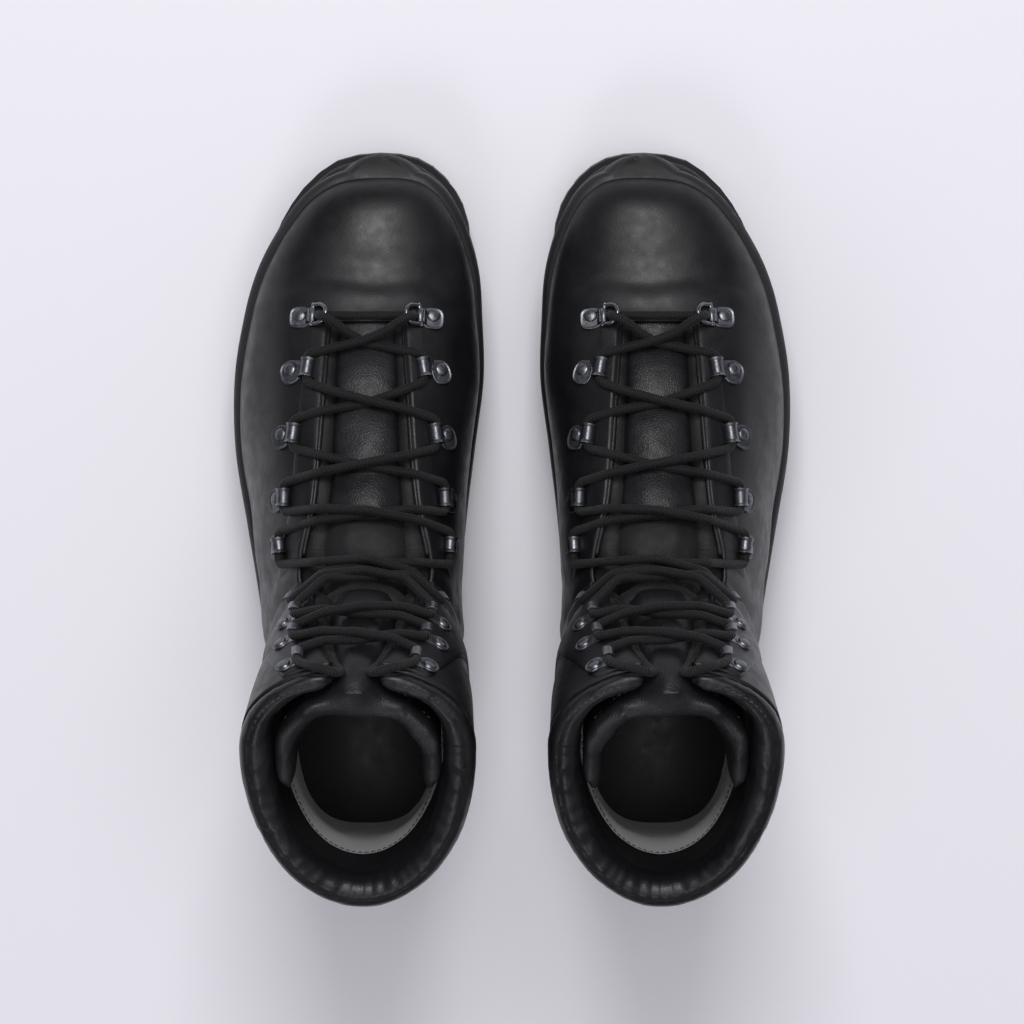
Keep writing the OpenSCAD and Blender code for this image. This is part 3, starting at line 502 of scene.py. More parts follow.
def finishes():
    """One finish for every material slot, and some for the sewn details."""
    return {
        "rubber": rubber("outsole_rubber", (0.010, 0.010, 0.011), 0.62),
        "midsole_rubber": rubber("midsole_rubber", (0.012, 0.012, 0.013), 0.58, 700),
        "rand_rubber": rubber("rand_rubber", (0.010, 0.010, 0.011), 0.5, 800, 0.18),
        "steel": metal("shank_steel", (0.35, 0.35, 0.36), 0.4),
        "board": plain("fibre_board", (0.16, 0.11, 0.07), 0.9),
        "footbed_fabric": cloth("footbed_felt", (0.05, 0.051, 0.055), (0.12, 0.12, 0.13), 420, 0.1),
        "stiffener": plain("stiffener", (0.4, 0.32, 0.2), 0.8),
        "leather": leather(
            "upper_leather", (0.0040, 0.0038, 0.0046), (0.0078, 0.0070, 0.0086),
            0.43, 900, 0.022, 0.10, coat=0.05, crease=0.05),
        "facing_leather": leather(
            "facing_leather", (0.0046, 0.0046, 0.0056), (0.009, 0.009, 0.0108),
            0.44, 900, 0.035, 0.15, coat=0.04),
        "lining_fabric": cloth("lining_mesh", (0.20, 0.20, 0.21), (0.46, 0.46, 0.48), 330, 0.16),
        "tongue_leather": leather(
            "tongue_leather", (0.006, 0.006, 0.007), (0.012, 0.012, 0.0145),
            0.42, 820, 0.06, 0.10),
        "foam": plain("foam", (0.1, 0.1, 0.11), 0.95, 0.2, 900, 0.2),
        "lining_leather": leather(
            "lining_leather", (0.007, 0.007, 0.008), (0.012, 0.012, 0.0135),
            0.45, 640, 0.08),
        "collar_leather": leather(
            "collar_leather", (0.0045, 0.0045, 0.0055), (0.009, 0.0088, 0.0108),
            0.38, 900, 0.035, 0.08, coat=0.08, crease=0.12),
        "soft_leather": leather(
            "gusset_suede", (0.007, 0.0067, 0.0075), (0.014, 0.0132, 0.0145),
            0.62, 900, 0.08, 0.15, sheen=0.05),
        "gunmetal": metal("gunmetal", (0.125, 0.13, 0.142), 0.34),
        "ring_steel": metal("ring_steel", (0.23, 0.235, 0.25), 0.27),
        "rivet_steel": metal("rivet_steel", (0.14, 0.145, 0.155), 0.34),
        "lace": braid("lace_braid", (0.003, 0.003, 0.0033), (0.018, 0.018, 0.02)),
        "aglet_plastic": plain("aglet_plastic", (0.015, 0.015, 0.016), 0.3, 0.5, 300, 0.01),
        "thread": plain("thread", (0.12, 0.14, 0.19), 0.6, 0.4, 5000, 0.03, 0.3),
        "dark_thread": plain("dark_thread", (0.040, 0.044, 0.058), 0.6, 0.4, 5000, 0.03, 0.3),
    }


def dress(obj, finish, body=None, replaced=()):
    """Gives a piece its finish and the body it rides, and hides the imported nodes it stands in for."""
    obj.data.materials.clear()
    obj.data.materials.append(LOOK[finish])
    if body:
        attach(obj, body)
    if replaced:
        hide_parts(*replaced)
    return obj


def across_ankle(obj):
    """Bakes the piece's placement into its mesh; it is attached to no body."""
    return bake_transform(obj)


# ---------------------------------------------------------------- sewing
def stitches(side, name, lines, pitch=2.7, length=2.0, r=0.30, finish="thread"):
    """Threads laid in the surface. Each line is (points, normals) in millimetres."""
    rings = np.array([[-0.5, 0.25, -0.5], [-0.36, 0.8, 0.1], [0, 1.0, 0.55],
                      [0.36, 0.8, 0.1], [0.5, 0.25, -0.5]])
    sides = 6
    pts, faces = [], []
    for line, normals in lines:
        run = np.concatenate([[0], np.cumsum(np.linalg.norm(np.diff(line, axis=0), axis=1))])
        for s in np.arange(pitch / 2, run[-1] - pitch / 2, pitch):
            at, ahead = (np.array([np.interp(v, run, line[:, k]) for k in range(3)]) for v in (s, s + 0.5))
            up = unit(np.array([np.interp(s, run, normals[:, k]) for k in range(3)]))
            way = unit(ahead - at)
            out = np.cross(way, up)
            base = len(pts)
            for along_it, wide, high in rings:
                for j in range(sides):
                    q = 2 * math.pi * j / sides
                    pts.append(at + way * along_it * length + out * math.cos(q) * r * wide
                               + up * (math.sin(q) * r * wide + high * r))
            for i in range(len(rings) - 1):
                for j in range(sides):
                    k = (j + 1) % sides
                    faces.append((base + i * sides + j, base + (i + 1) * sides + j,
                                  base + (i + 1) * sides + k, base + i * sides + k))
            faces.append(tuple(base + j for j in range(sides)))
            faces.append(tuple(base + (len(rings) - 1) * sides + j for j in range(sides))[::-1])
    obj = build(side, name, pts, faces)
    obj.data.materials.append(LOOK[finish])
    return obj


def line_on(u, x, d):
    """Points and normals over the skin along sections u at distances x from the middle line."""
    u, x = np.broadcast_arrays(np.asarray(u, float), np.asarray(x, float))
    a = angle_at(u, x)
    return skin(u, a, np.full(u.shape, float(d))), normal(u, a)


def line_at(u, a, d):
    u, a = np.broadcast_arrays(np.asarray(u, float), np.asarray(a, float))
    return skin(u, a, np.full(u.shape, float(d))), normal(u, a)


# ---------------------------------------------------------------- sole
def sole_line_z(y):
    """Height of the midsole's flat top."""
    ys = np.concatenate([[-157], SECTIONS[12:1:-1, 0], [157]])
    zs = np.concatenate([[42], SECTIONS[12:1:-1, 1] - 0.3, [43]])
    return np.interp(y, ys, zs)


def parting_z(y):
    return np.interp(y, [-157, -60, -10, 40, 80, 104, 124, 142, 157],
                     [17, 16.5, 14.5, 13, 13.6, 16, 20, 25, 30])


def outline(inset_at, count=260):
    """The sole's plan, evenly run, drawn in by inset_at(y)."""
    closed = np.concatenate([OUTLINE, OUTLINE[:3]])
    dense = along(np.concatenate([OUTLINE[-1:], closed]), np.linspace(1, len(OUTLINE) + 1, 3200))
    run = np.concatenate([[0], np.cumsum(np.linalg.norm(np.diff(dense, axis=0), axis=1))])
    at = np.linspace(0, run[-1], count, endpoint=False)
    pts = np.stack([np.interp(at, run, dense[:, k]) for k in range(2)], -1)
    way = unit(np.roll(pts, -1, 0) - np.roll(pts, 1, 0))
    inward = np.stack([way[:, 1], -way[:, 0]], -1)
    return pts + inward * inset_at(pts[:, 1])[:, None]


# Side of the midsole from below up: inset, share of the way to the sole line, rise over it
MIDSOLE_PROFILE = (
    (14, 0, 0.3), (0.0, 0, 0.3), (-0.25, 0, 1.4), (-0.25, 0.10, 1.6), (0.35, 0.14, 1.6),
    (0.35, 0.20, 1.6), (-0.1, 0.24, 1.6), (-0.1, 0.72, 0), (0.2, 0.78, 0), (0.75, 0.80, 0),
    (0.75, 0.85, 0), (0.2, 0.88, 0), (0.3, 0.95, 0), (0.8, 1.0, 0.2), (1.6, 1, 0.9), (2.6, 1, 1.2),
    (3.6, 1, 1.7), (5.4, 1, 3.2), (7.6, 1, 5.0), (10, 1, 6.2), (13, 1, 5.0), (15, 1, -1))


def midsole(side):
    """Moulded side wall with two ribs, and a fillet that climbs to the upper."""
    lip = lambda y: mix(1.2, 2.5, smooth((y - 112) / 10))
    rows = []
    for inset, low_share, rise in MIDSOLE_PROFILE:
        plan = outline(lambda y: lip(y) + inset)
        y = plan[:, 1]
        z = mix(parting_z(y), sole_line_z(y), low_share) + rise
        rows.append(np.column_stack([plan, z]))
    grid = np.array(rows)
    wall = ripple(grid, 30, 5) * 0.12
    grid[..., 2] += wall
    faces = sheet_faces(len(rows) - 1, grid.shape[1], ring=True)
    obj = build(side, "midsole_wall", grid, faces)
    return dress(obj, "midsole_rubber", body=FEET, replaced=[f"{side}_midsole"])


NOSE = [0.03, 0.2, 0.4, 0.55, 0.68, 0.79, 0.88, 0.94, 0.98]   # rings that close a surface at the toe


def with_nose(grid, forward):
    """Puts a domed front before the first ring of a surface."""
    centre = grid[0].mean(0)
    share = np.array(NOSE)[:, None, None]
    dome = centre + (grid[0] - centre)[None] * share
    dome[..., 1] += forward * (1 - share[..., 0] ** 2.3)
    return np.concatenate([dome, grid])


def nose_cap(count):
    return [tuple(range(count))[::-1]]


def rand(side):
    """Rubber band round the foot, its top edge rolled."""
    nu, nv = 150, 84
    u = np.concatenate([np.linspace(1.0, 2, 18)[:-1], np.linspace(2, 13.3, nu - 24)])[:, None]
    t = np.linspace(0, 1, nv + 1)[None, :-1]
    top = np.clip(height_angle(u, along(RAND_TOP, np.minimum(u, 13))[..., 0]), 4, 168)
    low = np.maximum(140, mix(top, 180, 0.6))
    v = np.abs(2 * t - 1)
    a = np.where(v < 1 / 3, mix(180, low, v * 3), mix(low, top, (v - 1 / 3) * 1.5))
    a = np.where(t < 0.5, a, 360 - a)
    edge = smooth(np.minimum((1 - v) * 22, 1)) * np.ones_like(u)
    heel_end = smooth((13.3 - u) * 5)
    d = (1.1 + 0.7 * smooth(u - 11)) + 1.75 * edge * heel_end
    grid = skin(u, a, d)
    grid += normal(u, a) * (ripple(grid, 46, 11) * 0.16)[..., None]
    grid = with_nose(grid, 7.2)
    place_u = np.concatenate([np.zeros(len(NOSE)), u[:, 0]])
    middle = np.abs(2 * (np.arange(nv) + 0.5) / nv - 1) < 1 / 3
    keep = [[not (middle[j] and 1 < place_u[i] < 12.2) for j in range(nv)] for i in range(len(place_u) - 1)]
    faces = sheet_faces(len(place_u) - 1, nv, ring=True, keep=keep) + nose_cap(nv)
    obj = build(side, "rand_band", grid, faces)
    drop_loose(obj)
    thicken(obj, 2.4)
    return dress(obj, "rand_rubber", body=FEET, replaced=[f"{side}_rand"])


def thicken(obj, thick, edge=0.0):
    solid = obj.modifiers.new("thick", "SOLIDIFY")
    solid.thickness = thick * MM
    solid.offset = -1
    if edge:
        bevel = obj.modifiers.new("edge", "BEVEL")
        bevel.width = edge * MM
        bevel.segments = 2
        bevel.limit_method = "ANGLE"
        bevel.angle_limit = math.radians(50)
    return settle(obj)


# ---------------------------------------------------------------- upper
SLOT_SHARE = 1 / 6


def round_angle(u, t):
    """Angle round the whole boot, with the lacing slot in the first sixth."""
    v = 2 * t - 1
    w, e = slot_angle(u), np.abs(v)
    beyond = mix(w, 180, (e - SLOT_SHARE) / (1 - SLOT_SHARE))
    return np.sign(v) * np.where(e < SLOT_SHARE, w * e / SLOT_SHARE, beyond)


def swell(u, a):
    """The hide stands up beside the lacing slot and falls away outboard."""
    s = along(SECTIONS, u)
    x = s[..., 6] * np.abs(np.sin(np.radians(a))) ** (2 / s[..., 9])
    x = np.where(np.cos(np.radians(a)) > 0, x, 99)
    across = 1 - smooth((x - slot_half(u) - 13) / 15)
    return 1.7 * across * smooth((u - 4.7) / 1.0) * smooth((10.9 - u) / 0.5)


def creases(u, a, p):
    """How far the worn leather stands off its pattern, in millimetres."""
    flat = np.abs(((a + 180) % 360) - 180)
    toe_break = np.exp(-((u - 5.2) / 0.75) ** 2) * smooth((75 - flat) / 50)
    ankle = np.exp(-((u - 11.8) / 2.2) ** 2) * smooth((flat - 22) / 25) * smooth((165 - flat) / 40)
    across = np.sin(u * 9.5 + 0.8 * np.sin(np.radians(flat) * 5) + ripple(p, 30, 21))
    folds = np.sin(u * 5.2 + 2.2 * np.radians(flat) + 1.5 * ripple(p, 38, 22))
    return (swell(u, a) + ripple(p, 60, 20) * 0.35 + ripple(p, 17, 23) * 0.08
            + toe_break * across * 0.2 + ankle * (folds * 0.75 + ripple(p, 14, 24) * 0.3))


def upper(side):
    """Vamp, quarters and shaft as one hide, open along the slot and under the foot's middle."""
    nu, nv = 210, 180
    front = np.concatenate([[0.3, 0.45, 0.6, 0.8], np.linspace(1, SLOT_U, 60)])
    back = np.linspace(0, 1, nu - len(front) + 1)[1:]
    t = (np.arange(nv) / nv)[None, :]
    ends = shaft_top(np.abs(round_angle(18.5, t)) % 360)
    rows = np.concatenate([np.broadcast_to(front[:, None], (len(front), nv)),
                           mix(SLOT_U, ends, back[:, None])])
    a = round_angle(rows, np.broadcast_to(t, rows.shape))
    base = skin(rows, a, np.zeros(rows.shape))
    grid = base + normal(rows, a) * creases(rows, a, base)[..., None]
    v = np.abs(2 * (np.arange(nv) + 0.5) / nv - 1)
    keep = [[True] * nv for _ in NOSE]
    for i in range(len(rows) - 1):
        u = (rows[i] + rows[i + 1]) / 2
        keep.append([not (v[j] < SLOT_SHARE and u[j] > SLOT_U + 1e-6) and not (v[j] > 0.93 and u[j] < 12)
                     for j in range(nv)])
    grid = with_nose(grid, 1.0)
    faces = sheet_faces(len(grid) - 1, nv, ring=True, keep=keep) + nose_cap(nv)
    obj = build(side, "upper_hide", grid, faces)
    drop_loose(obj)
    thicken(obj, 2.0)
    dress(obj, "leather", replaced=[f"{side}_vamp", f"{side}_cuff", f"{side}_flex_panel"])
    return across_ankle(obj)


def raised_panel(side, name, u, x, d, thick, hem=0.9):
    """A sewn-on piece over the skin: its edges turn down over hem millimetres."""
    u, x = np.broadcast_arrays(u, x)
    flank = -1 if x.mean() < 0 else 1
    a = angle_at(u, x)
    nu, nv = u.shape
    near = np.minimum.reduce([
        np.minimum(np.arange(nu), np.arange(nu)[::-1])[:, None] * np.ones((1, nv)),
        np.minimum(np.arange(nv), np.arange(nv)[::-1])[None, :] * np.ones((nu, 1))])
    drop = hem * np.array([1.0, 0.45, 0.12])[np.minimum(near, 2).astype(int)] * (near < 3)
    base = skin(u, a, np.zeros(u.shape))
    lift = d - drop + ripple(base, 40, 31) * 0.10
    grid = base + normal(u, a) * lift[..., None]
    faces = sheet_faces(nu - 1, nv - 1)
    if flank < 0:
        faces = [f[::-1] for f in faces]
    obj = build(side, name, grid, faces)
    return thicken(obj, thick)


def edge_spaced(low, high, count, ends=0.5):
    """Values from low to high, with close ones at both ends for the turned hems."""
    inner = np.linspace(low + ends * 3, high - ends * 3, count)
    return np.concatenate([low + ends * np.arange(3), inner, high - ends * np.arange(3)[::-1]])


def facings(side):
    """Eyestays on the foot and hook panels on the shaft, with piping and two rows of stitches."""
    for flank, word in ((-1, "lateral"), (1, "medial")):
        low = np.concatenate([np.array([6.02, 6.05, 6.08]), np.linspace(6.15, 10.0, 60),
                              np.array([10.1, 10.16, 10.2])])
        share = np.concatenate([[0, 0.07, 0.14], np.linspace(0.22, 0.78, 7), [0.86, 0.93, 1]])
        x = slot_half(low)[:, None] + 0.2 + share[None, :] * STAY_W
        stay = raised_panel(side, f"eyestay_{word}", low[:, None], flank * x, FACING_TOP + 0.3, 1.6, hem=0.6)
        dress(stay, "facing_leather", body=FEET, replaced=[f"{side}_eyestay"] if flank > 0 else ())

        high = np.concatenate([[10.75, 10.8, 10.85], np.linspace(10.95, 18.3, 70), [18.42, 18.5, 18.56]])
        share = np.concatenate([[0, 0.05, 0.1], np.linspace(0.16, 0.84, 10), [0.9, 0.95, 1]])
        wide = hook_margin(high)
        x = slot_half(high)[:, None] + 0.2 + share[None, :] * wide[:, None]
        panel = raised_panel(side, f"hook_panel_{word}", high[:, None], flank * x, FACING_TOP - 0.05, 1.5)
        dress(panel, "facing_leather", body=f"{side}_shaft",
              replaced=[f"{side}_hook_panels"] if flank > 0 else ())

        us = np.linspace(6.1, 10.1, 60)
        rows = [line_on(us, flank * (slot_half(us) + gap), FACING_TOP + 0.25) for gap in (3.6, 5.6)]
        turn = np.radians(np.linspace(-10, 100, 16))
        for r in (3.5, 5.6, 7.7):
            corner = 5.98 - 0.052 * r * np.sin(turn)
            rows.append(line_on(corner, flank * (slot_half(6.0) - 2.5 + r * np.cos(turn)), 1.75))
        sewn = stitches(side, f"low_facing_stitches_{word}", rows)
        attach(sewn, FEET)
        us = np.linspace(10.85, 18.4, 80)
        over = FACING_TOP + 0.12
        rows = [line_on(us, flank * (slot_half(us) + 3.0), over)]
        rows += [line_on(us, flank * (slot_half(us) + hook_margin(us) - gap), over) for gap in (1.9, 4.2)]
        end = np.linspace(0.12, 0.93, 24)
        rows += [line_on(us[-1] - k, flank * (slot_half(us[-1]) + end * hook_margin(us[-1])), over)
                 for k in (0.06, 0.17)]
        sewn = stitches(side, f"high_facing_stitches_{word}", rows, pitch=3.0, length=2.3, r=0.34)
        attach(sewn, f"{side}_shaft")
        for part, us, lift, body in (("low", np.linspace(6.0, 10.15, 60), 1.9, FEET),
                                     ("high", np.linspace(10.8, 18.45, 80), 1.2, f"{side}_shaft")):
            path = line_on(us, flank * (slot_half(us) - 0.1), lift)[0]
            piping = tube(side, f"{part}_piping_{word}", curve(path[::3], 1.5), 1.2, sides=10)
            dress(piping, "facing_leather", body=body)


STAY_W = 8.5          # width of the sewn strip beside the slot


def hook_margin(u):
    return mix(15.5, 19.5, smooth((u - 10.7) / 3)) - 2.0 * smooth((u - 15) / 4)


def quarter_seams(side):
    """The heel's back stay and the lines where the quarters lap the vamp."""
    for flank, word in ((-1, "lateral"), (1, "medial")):
        low = np.linspace(0, 1, 60)
        us = mix(6.6, 10.4, low)
        x_angle = mix(58, 96, smooth(low))
        rows = []
        for gap in (0, 0.055):
            a = x_angle * (1 - gap)
            rows.append(line_at(us + gap * 2.2, flank * a, 0.45))
        seam = stitches(side, f"quarter_stitches_{word}", rows, pitch=2.5, length=1.8, r=0.26,
                        finish="dark_thread")
        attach(seam, FEET)
    stay_u = edge_spaced(13.55, 18.25, 50, 0.04)[:, None]
    half = np.concatenate([[-1, -0.93, -0.86], np.linspace(-0.78, 0.78, 12), [0.86, 0.93, 1]])[None, :]
    a = 180 - half * mix(15, 19, smooth((stay_u - 13.5) / 4))
    base = skin(stay_u, a, np.zeros(a.shape))
    near = np.minimum(np.minimum(np.arange(a.shape[0]), np.arange(a.shape[0])[::-1])[:, None],
                      np.minimum(np.arange(a.shape[1]), np.arange(a.shape[1])[::-1])[None, :])
    lift = 1.5 - np.array([1.0, 0.4, 0.1, 0])[np.minimum(near, 3)] + ripple(base, 26, 41) * 0.14
    grid = base + normal(stay_u, a) * lift[..., None]
    faces = [f[::-1] for f in sheet_faces(grid.shape[0] - 1, grid.shape[1] - 1)]
    stay = build(side, "back_stay", grid, faces)
    thicken(stay, 1.3)
    dress(stay, "leather")
    across_ankle(stay)
    us = np.linspace(13.7, 18.1, 70)
    lines = [line_at(us, 180 + s * (mix(15, 19, smooth((us - 13.5) / 4)) - 2.6), 1.45) for s in (-1, 1)]
    sewn = stitches(side, "back_stay_stitches", lines, finish="dark_thread")
    across_ankle(sewn)


# ---------------------------------------------------------------- padding
def plump(obj, voxel=4.2, pressure=4.0, cap=1.6):
    """Blows a closed pad up as stuffed cloth, holding every point within cap millimetres of its pattern."""
    remesh = obj.modifiers.new("even", "REMESH")
    remesh.mode = "VOXEL"
    remesh.voxel_size = voxel * MM
    settle(obj)
    mesh = obj.data
    before = np.empty(len(mesh.vertices) * 3)
    mesh.vertices.foreach_get("co", before)
    before = before.reshape(-1, 3)
    cloth = obj.modifiers.new("stuffing", "CLOTH")
    cloth.settings.effector_weights.gravity = 0
    cloth.settings.use_pressure = True
    cloth.settings.uniform_pressure_force = pressure
    cloth.settings.quality = 4
    cloth.settings.mass = 0.3
    cloth.settings.shrink_min = -0.06
    cloth.settings.tension_stiffness = 18
    cloth.settings.bending_stiffness = 0.4
    cloth.point_cache.frame_start = 1
    cloth.point_cache.frame_end = 20
    scene = bpy.context.scene
    for step in range(1, 21):
        scene.frame_set(step)
    settle(obj)
    scene.frame_set(1)
    mesh = obj.data
    after = np.empty(len(mesh.vertices) * 3)
    mesh.vertices.foreach_get("co", after)
    after = after.reshape(-1, 3)
    moved = after - before
    size = np.linalg.norm(moved, axis=1, keepdims=True)
    moved *= np.minimum(1, cap * MM / np.maximum(size, 1e-9))
    mesh.vertices.foreach_set("co", (before + moved).ravel())
    for _ in range(1):
        fine = obj.modifiers.new("fine", "SUBSURF")
        fine.levels = fine.render_levels = 1
    settle(obj)
    obj.data.polygons.foreach_set("use_smooth", [True] * len(obj.data.polygons))
    return obj


def wrinkle(obj, side, seed, height_of):
    """Moves each point along its normal by height_of(points in the boot's millimetres)."""
    mesh = obj.data
    co = np.empty(len(mesh.vertices) * 3)
    nor = np.empty(len(mesh.vertices) * 3)
    mesh.vertices.foreach_get("co", co)
    mesh.vertex_normals.foreach_get("vector", nor)
    co, nor = co.reshape(-1, 3), nor.reshape(-1, 3)
    local = co / MM
    local[:, 0] = HEEL_OFFSET - SIDES[side] * local[:, 0]
    co += nor * (height_of(local, seed) * MM)[:, None]
    mesh.vertices.foreach_set("co", co.ravel())
    mesh.update()
    return obj


def collar_middle(a):
    a = np.asarray(a, float)
    r = collar_radius(a)
    return skin(TOP_U - r / 23, a, -r)


def collar_frame(count):
    """The collar's middle line, with its outward and upward directions, padded radius and angle."""
    first = float(slot_angle(18.9)) + 1.5
    a = np.linspace(first, 360 - first, count)
    middle = collar_middle(a)
    out = normal(np.full(count, 18.7), a)
    way = unit(np.gradient(middle, axis=0))
    out = unit(out - (out * way).sum(1, keepdims=True) * way)
    up = unit(np.cross(out, way))
    up *= np.sign(up[:, 2:3])
    return a, middle, way, out, up


def collar(side):
    """A rolled, stuffed collar, gathered into radial wrinkles, with a seam near its outer edge."""
    count, ring = 150, 34
    a, middle, way, out, up = collar_frame(count)
    front = np.minimum(a, 360 - a)
    wide = collar_radius(a) + 0.7
    tall = wide * mix(1.05, 1.35, smooth((front - 30) / 60))
    middle = middle + out * 0.9 - up * 0.6
    end = np.minimum(np.arange(count), np.arange(count)[::-1]) / 5.0
    close = np.sqrt(np.clip(1 - (1 - np.clip(end, 0, 1)) ** 2, 0.02, 1))
    q = np.arange(ring) * 2 * math.pi / ring
    side_of, high = np.cos(q), np.sin(q)
    shape = np.sign(side_of) * np.abs(side_of) ** 0.85
    grid = (middle[:, None] + (wide * close)[:, None, None] * shape[None, :, None] * out[:, None]
            + (tall * close)[:, None, None] * (high[None, :, None]) * up[:, None]
            - ((tall - wide) * 1.0)[:, None, None] * up[:, None])
    faces = [tuple(reversed(f)) for f in sheet_faces(count - 1, ring, ring=True)]
    faces += [tuple(range(ring)), tuple((count - 1) * ring + j for j in range(ring))[::-1]]
    roll = build(side, "collar_roll", grid, faces)
    plump(roll, voxel=2.6, cap=1.0)

    def gathers(p, seed):
        near = np.argmin(((p[:, None, :] - middle[None, :, :]) ** 2).sum(2), axis=1)
        rel = p - middle[near]
        turn = np.degrees(np.arctan2((rel * up[near]).sum(1), (rel * out[near]).sum(1)))
        run = np.arange(count)[near] / count * 300 + (rel * way[near]).sum(1)
        front_share = smooth((np.minimum(a, 360 - a)[near] - 40) / 70)
        inner = smooth((turn - 40) / 50) * smooth((200 - turn) / 40)
        ribs = np.sin(run * 0.95 + 1.4 * np.sin(run * 0.21) + turn * 0.012 + ripple(p, 22, seed))
        seam = np.exp(-((turn - 62) / 7.0) ** 2)
        return (inner * front_share * ribs * 0.34 * (0.6 + 0.4 * ripple(p, 26, seed + 1))
                - seam * 0.75 + ripple(p, 19, seed + 2) * 0.16 + ripple(p, 46, seed + 3) * 0.22)

    wrinkle(roll, side, 51, gathers)
    dress(roll, "collar_leather", body=f"{side}_shaft", replaced=[f"{side}_collar"])

    s = math.radians(62)
    line = (middle + (wide * math.cos(s) * 0.93)[:, None] * out
            + (tall * math.sin(s) * 0.86 - (tall - wide))[:, None] * up)
    sewn = stitches(side, "collar_stitches", [(line[6:-6], (out * math.cos(s) + up * math.sin(s))[6:-6])],
                    pitch=2.9, length=2.0, r=0.26, finish="dark_thread")
    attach(sewn, f"{side}_shaft")


def shaft_inside(side):
    """Smooth leather down from the collar, and pale cloth below it round the heel."""
    nu, nv = 44, 130
    t = np.linspace(0.02, 0.98, nv + 1)[None, :]
    w = slot_angle(18.5)
    a = mix(w, 360 - w, t) * np.ones((nu + 1, 1))
    back = smooth((np.minimum(a, 360 - a) - 60) / 90)
    low = mix(15.2, 17.33, back[0])
    u = mix(low[None, :], 18.55, np.linspace(0, 1, nu + 1)[:, None])
    base = skin(u, a, np.zeros(u.shape))
    d = -7.7 - 0.9 * smooth((u - 17.6) / 0.9) + ripple(base, 34, 61) * 0.35 + ripple(base, 12, 62) * 0.08
    grid = base + normal(u, a) * d[..., None]
    faces = sheet_faces(nu, nv)
    wall = build(side, "shaft_wall", grid, faces)
    thicken(wall, 0.9)
    dress(wall, "lining_leather", body=f"{side}_shaft",
          replaced=[f"{side}_shaft_lining", f"{side}_shaft_foam"])
    us = np.interp(np.linspace(0, 1, 120), np.linspace(0, 1, nv + 1), low) + 0.1
    line = line_at(us, mix(w, 360 - w, np.linspace(0.03, 0.97, 120)), -8.9)
    sewn = stitches(side, "shaft_wall_stitches", [(line[0], -line[1])],
                    finish="dark_thread")
    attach(sewn, f"{side}_shaft")

    u = np.concatenate([np.linspace(0.5, 12.4, 60), np.linspace(12.5, 17.6, 50)])[:, None]
    t = np.linspace(0, 1, 121)[None, :]
    first = mix(0.0, slot_angle(u) + 16, smooth((u - 5.2) / 0.6))
    a = mix(first, 360 - first, t)
    base = skin(u, a, np.zeros(a.shape))
    d = mix(-5.6, -6.9, smooth((u - 12.5) / 2)) + ripple(base, 30, 63) * 0.2
    grid = base + normal(u, a) * d[..., None]
    grid[..., 2] = np.maximum(grid[..., 2], 36)
    lining = build(side, "heel_lining", grid, sheet_faces(len(u) - 1, 120))
    thicken(lining, 0.8)
    dress(lining, "lining_fabric", replaced=[f"{side}_foot_lining"])
    across_ankle(lining)


# ---------------------------------------------------------------- tongue
def pillow(u, x, rows, reach):
    """Swelling of the tongue in the gaps of the lacing."""
    total = np.zeros(np.broadcast(u, x).shape)
    for i, (row, _) in enumerate(rows):
        before = rows[i - 1][0] if i else row - 1.0
        after = rows[i + 1][0] if i + 1 < len(rows) else row + 1.0
        half = np.where(u < row, row - before, after - row) / 2
        arch = np.clip(np.cos(np.clip((u - row) / half, -1, 1) * math.pi / 2), 0, 1) ** 0.7
        total += arch * np.exp(-(x / reach) ** 2)
    return total


def tongue_pad(side, name, u, half, face, back, seed, voxel=3.0, cap=1.2, bumps=None):
    """A closed, stuffed pad over sections u (a column) and out to the angle half on each side."""
    nv = 44
    v = np.linspace(-1, 1, nv + 1)[None, :]
    a = half * v
    s = along(SECTIONS, u)
    turn = np.abs(np.sin(np.radians(a)))
    x = np.sign(a) * np.where(np.abs(a) > 90, 2 - turn, turn) ** (2 / s[..., 9]) * s[..., 6]
    nu = u.shape[0] - 1
    near_u = np.minimum(np.arange(nu + 1), np.arange(nu + 1)[::-1])[:, None] / 3.0
    near_v = (1 - np.abs(v)) * 9
    round_off = np.sqrt(np.clip(1 - (1 - np.clip(np.minimum(near_u, near_v), 0, 1)) ** 2, 0, 1))
    top_d, low_d = face(u, x), back(u, x)
    middle = (top_d + low_d) / 2
    base = skin(u, a, np.zeros(a.shape))
    nor = normal(u, a)
    over = base + nor * mix(middle, top_d, round_off)[..., None]
    under = base + nor * mix(middle, low_d, round_off)[..., None]
    count = (nu + 1) * (nv + 1)
    faces = sheet_faces(nu, nv) + [tuple(k + count for k in f[::-1]) for f in sheet_faces(nu, nv)]
    cols = nv + 1
    rim = ([i * cols for i in range(nu + 1)] + [nu * cols + j for j in range(1, nv + 1)]
           + [i * cols + nv for i in range(nu - 1, -1, -1)] + [j for j in range(nv - 1, 0, -1)])
    faces += [(p, q, q + count, p + count) for p, q in zip(rim, rim[1:] + rim[:1])]
    obj = build(side, name, np.concatenate([over.reshape(-1, 3), under.reshape(-1, 3)]), faces)
    plump(obj, voxel=voxel, cap=cap)
    plain_bumps = lambda p, s: ripple(p, 15, s) * 0.22 + ripple(p, 40, s + 1) * 0.3
    return wrinkle(obj, side, seed, bumps or plain_bumps)


def sunk_sides(u, x, crown, deep):
    """Depth of the tongue's face: up between the facings and down under them."""
    w = slot_half(u)
    return mix(crown, deep, smooth((np.abs(x) - w * 0.72) / (w * 0.34)))


